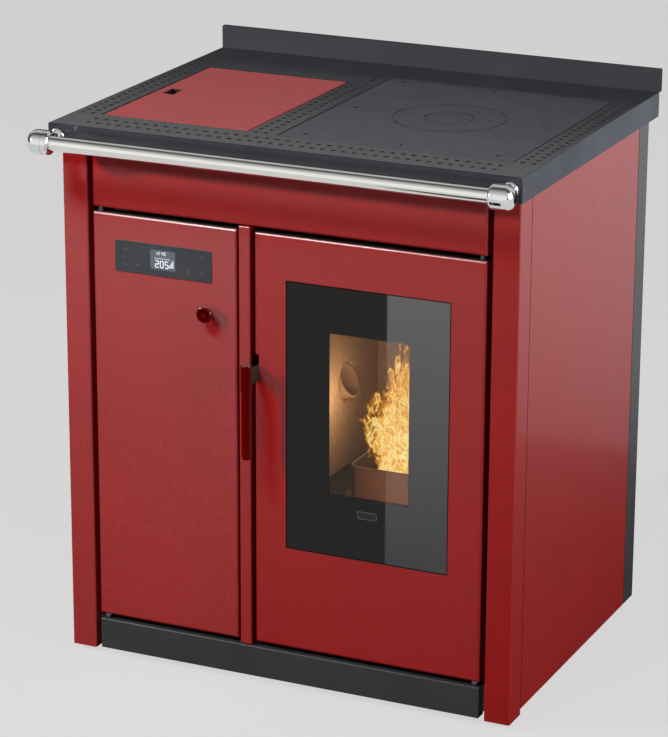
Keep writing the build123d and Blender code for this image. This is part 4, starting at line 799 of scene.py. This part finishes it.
# Light: a room that is brighter behind the stove than in front of it, a small key lamp at the left of the
# front, soft lamps low in front, above, at the right and behind, lamps that give single pieces their sheen,
# pale cards for what mirrors, and small lamps in the fire.
world = bpy.data.worlds.new("studio")
world.use_nodes = True
tree = world.node_tree
toward = add(tree, "SeparateXYZ", links={"Vector": add(tree, "TexCoord").outputs["Generated"]})
behind = add(tree, "MapRange", {"From Min": -0.4, "From Max": 0.9, "To Min": 0.02, "To Max": 0.38},
             {"Value": toward.outputs["Y"]})
seen_straight = add(tree, "LightPath").outputs["Is Camera Ray"]
pale_to_eye = add(tree, "Math", links={0: behind.outputs["Result"], 1: seen_straight}, operation="MAXIMUM")
tree.nodes["Background"].inputs["Color"].default_value = pale_grey
tree.links.new(pale_to_eye.outputs["Value"], tree.nodes["Background"].inputs["Strength"])
bpy.context.scene.world = world


def lamp(name, place, aim, width, height, power, receivers=(), mirrored=True, spread=True):
    """A rectangular lamp that the camera doesn't see, for all pieces or for some.

    It shows in glossy pieces if it is mirrored and lights matt ones if it spreads.
    """
    light = bpy.data.lights.new(name, "AREA")
    light.shape = "RECTANGLE"
    light.size = width
    light.size_y = height
    light.energy = power
    piece = bpy.data.objects.new(name, light)
    piece.location = place
    piece.rotation_mode = "QUATERNION"
    piece.rotation_quaternion = (Vector(aim) - Vector(place)).to_track_quat("-Z", "Y")
    piece.visible_camera = False
    piece.visible_glossy = mirrored
    piece.visible_diffuse = spread
    bpy.context.scene.collection.objects.link(piece)
    light_only(piece, receivers)


def card(name, low, high, foot, head, receivers=(), even=0.0):
    """A glowing card from a low edge to a high one, which only mirrors see.

    Its glow is even over a share of its height and runs from foot to head above that.
    """
    material, tree, shader, place = start_material(name + "_glow")
    height = add(tree, "SeparateXYZ", links={"Vector": place})
    strength = add(tree, "MapRange", {"From Min": low.z + even * (high.z - low.z), "From Max": high.z,
                                      "To Min": foot, "To Max": head}, {"Value": height.outputs["Z"]})
    tree.links.new(strength.outputs["Result"], shader.inputs["Emission Strength"])
    shader.inputs["Emission Color"].default_value = linear("#ffffff")
    shader.inputs["Base Color"].default_value = linear("#000000")
    mesh = bpy.data.meshes.new(name)
    mesh.from_pydata([(low.x, low.y, low.z), (high.x, low.y, low.z), (high.x, high.y, high.z),
                      (low.x, high.y, high.z)], [], [(0, 1, 2, 3)])
    mesh.materials.append(material)
    piece = bpy.data.objects.new(name, mesh)
    bpy.context.scene.collection.objects.link(piece)
    for sight in ("camera", "diffuse", "transmission", "shadow"):
        setattr(piece, "visible_" + sight, False)
    light_only(piece, receivers)


def nodes(*names):
    """CAD nodes by their names."""
    return [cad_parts[name] for name in names]


soft_finishes = (red_enamel, red_enamel_with_painted_top_shade, grained_anthracite)
glinting = [piece for piece in bpy.context.scene.objects
            if piece.type == "MESH" and piece.data.materials[0] not in soft_finishes]
lamp("key_lamp", (-2.4, -1.85, 1.70), (0, -0.2, 0.6), 0.16, 0.16, 95, mirrored=False)
lamp("glint_lamp", (-2.4, -1.85, 1.72), (0, -0.2, 0.6), 0.16, 0.16, 95, glinting, spread=False)
lamp("fill_lamp", (-0.2, -2.6, 0.25), (0, -0.26, 0.5), 3.0, 0.4, 20, mirrored=False)
lamp("front_soft_lamp", (-0.35, -2.25, 3.25), (0, -0.2, 0.5), 0.4, 0.4, 40, mirrored=False)
for power, pieces in ((265, ("left_front_pillar", "service_door")), (200, ("centre_mullion",)),
                      (140, ("fire_door_panel",)), (125, ("fascia_panel",)), (70, ("right_front_pillar",))):
    lamp(pieces[0] + "_sheen_lamp", (-0.7, -1.3, 2.2), (-0.1, -0.26, 0.6), 0.5, 0.5, power, nodes(*pieces),
         spread=False)
above_lid = (-0.6, 0.6, 3.2)
lid_aim = (-0.2, 0, 0.9)
lamp("lid_lamp", above_lid, lid_aim, 2.2, 2.2, 40, nodes("hopper_lid"))
lamp("lid_sheen_lamp", above_lid, lid_aim, 2.2, 2.2, 69, nodes("hopper_lid"), spread=False)
lamp("right_lamp", (3.2, -0.6, 1.8), (0.4, 0, 0.5), 2.0, 2.0, 132)
lamp("rear_lamp", (-1.4, 3.0, 1.6), (0, 0.3, 0.5), 2.0, 2.0, 150,
     nodes("back_panel", "left_side_panel", "left_rear_post", "base_tray", "flue_spigot", "air_inlet_pipe",
           "power_inlet", "power_switch"))
lamp("skirt_lamp", (2.0, 0.5, 0.7), (0.4, 0.0, 0.88), 0.6, 0.6, 138, nodes("worktop"), mirrored=False)
lamp("skirt_front_lamp", (0.3, -3.2, 1.8), (0, -0.28, 0.88), 1.0, 1.0, 45, nodes("worktop"), mirrored=False)
card("right_rear_card", Vector((0.40, 1.05, 0.0)), Vector((2.4, 1.05, 1.0)), 0.45, 1.4,
     nodes("right_side_panel", "right_front_pillar", "right_rear_post"))
card("worktop_card", Vector((-2.4, 1.6, 1.26)), Vector((0.8, 1.6, 1.60)), 0.0, 0.78,
     nodes("worktop", "cooking_plate"))
card("plate_card", Vector((-2.4, 1.6, 1.60)), Vector((0.8, 1.6, 2.2)), 0.4, 1.6, nodes("cooking_plate"))
card("glass_band_card", Vector((-0.044, -0.76, 0.0)), Vector((0.20, -0.76, 0.56)), 1.9, 4.8, [glass_pane])
rail_pieces = nodes("handrail_tube", "handrail_ends")
card("rail_card", Vector((-4.0, -4.5, 0.0)), Vector((3.0, -0.67, 2.7)), 0.92, 0.15, rail_pieces, even=0.6)
card("rail_rear_card", Vector((-4.0, 3.0, 1.25)), Vector((3.0, 0.35, 3.4)), 0.5, 0.5, rail_pieces)


def fire_lamp(name, place, power, colour):
    """A small warm lamp in the chamber that shows in no mirror and through no glass."""
    light = bpy.data.lights.new(name, "POINT")
    light.energy = power
    light.shadow_soft_size = 0.03
    light.color = linear(colour)[:3]
    piece = bpy.data.objects.new(name, light)
    piece.location = place
    for sight in ("camera", "glossy", "transmission"):
        setattr(piece, "visible_" + sight, False)
    bpy.context.scene.collection.objects.link(piece)


fire_lamp("flame_glow", (pot_middle.x, pot_middle.y, pot_high.z + 0.07), 0.42, "#ffd8c4")
fire_lamp("wall_glow", (0.050, glass_high.y + 0.17, 0.44), 0.55, "#ffeed2")
fire_lamp("hearth_glow", (pot_middle.x, glass_high.y + 0.035, 0.320), 0.58, "#ffb690")
bpy.context.scene.cycles.transparent_max_bounces = 24

# Camera: a long lens above and to the right of the front, as the photograph was taken.
lens = bpy.data.cameras.new("photo_camera")
lens.lens = 154.36
lens.sensor_width = 36.0
camera = bpy.data.objects.new("photo_camera", lens)
camera.location = (2.0214, -4.4936, 2.0779)
camera.rotation_euler = [math.radians(angle) for angle in (71.8737, -0.2300, 24.6592)]
bpy.context.scene.collection.objects.link(camera)
bpy.context.scene.camera = camera
bpy.context.scene.view_settings.view_transform = "Standard"
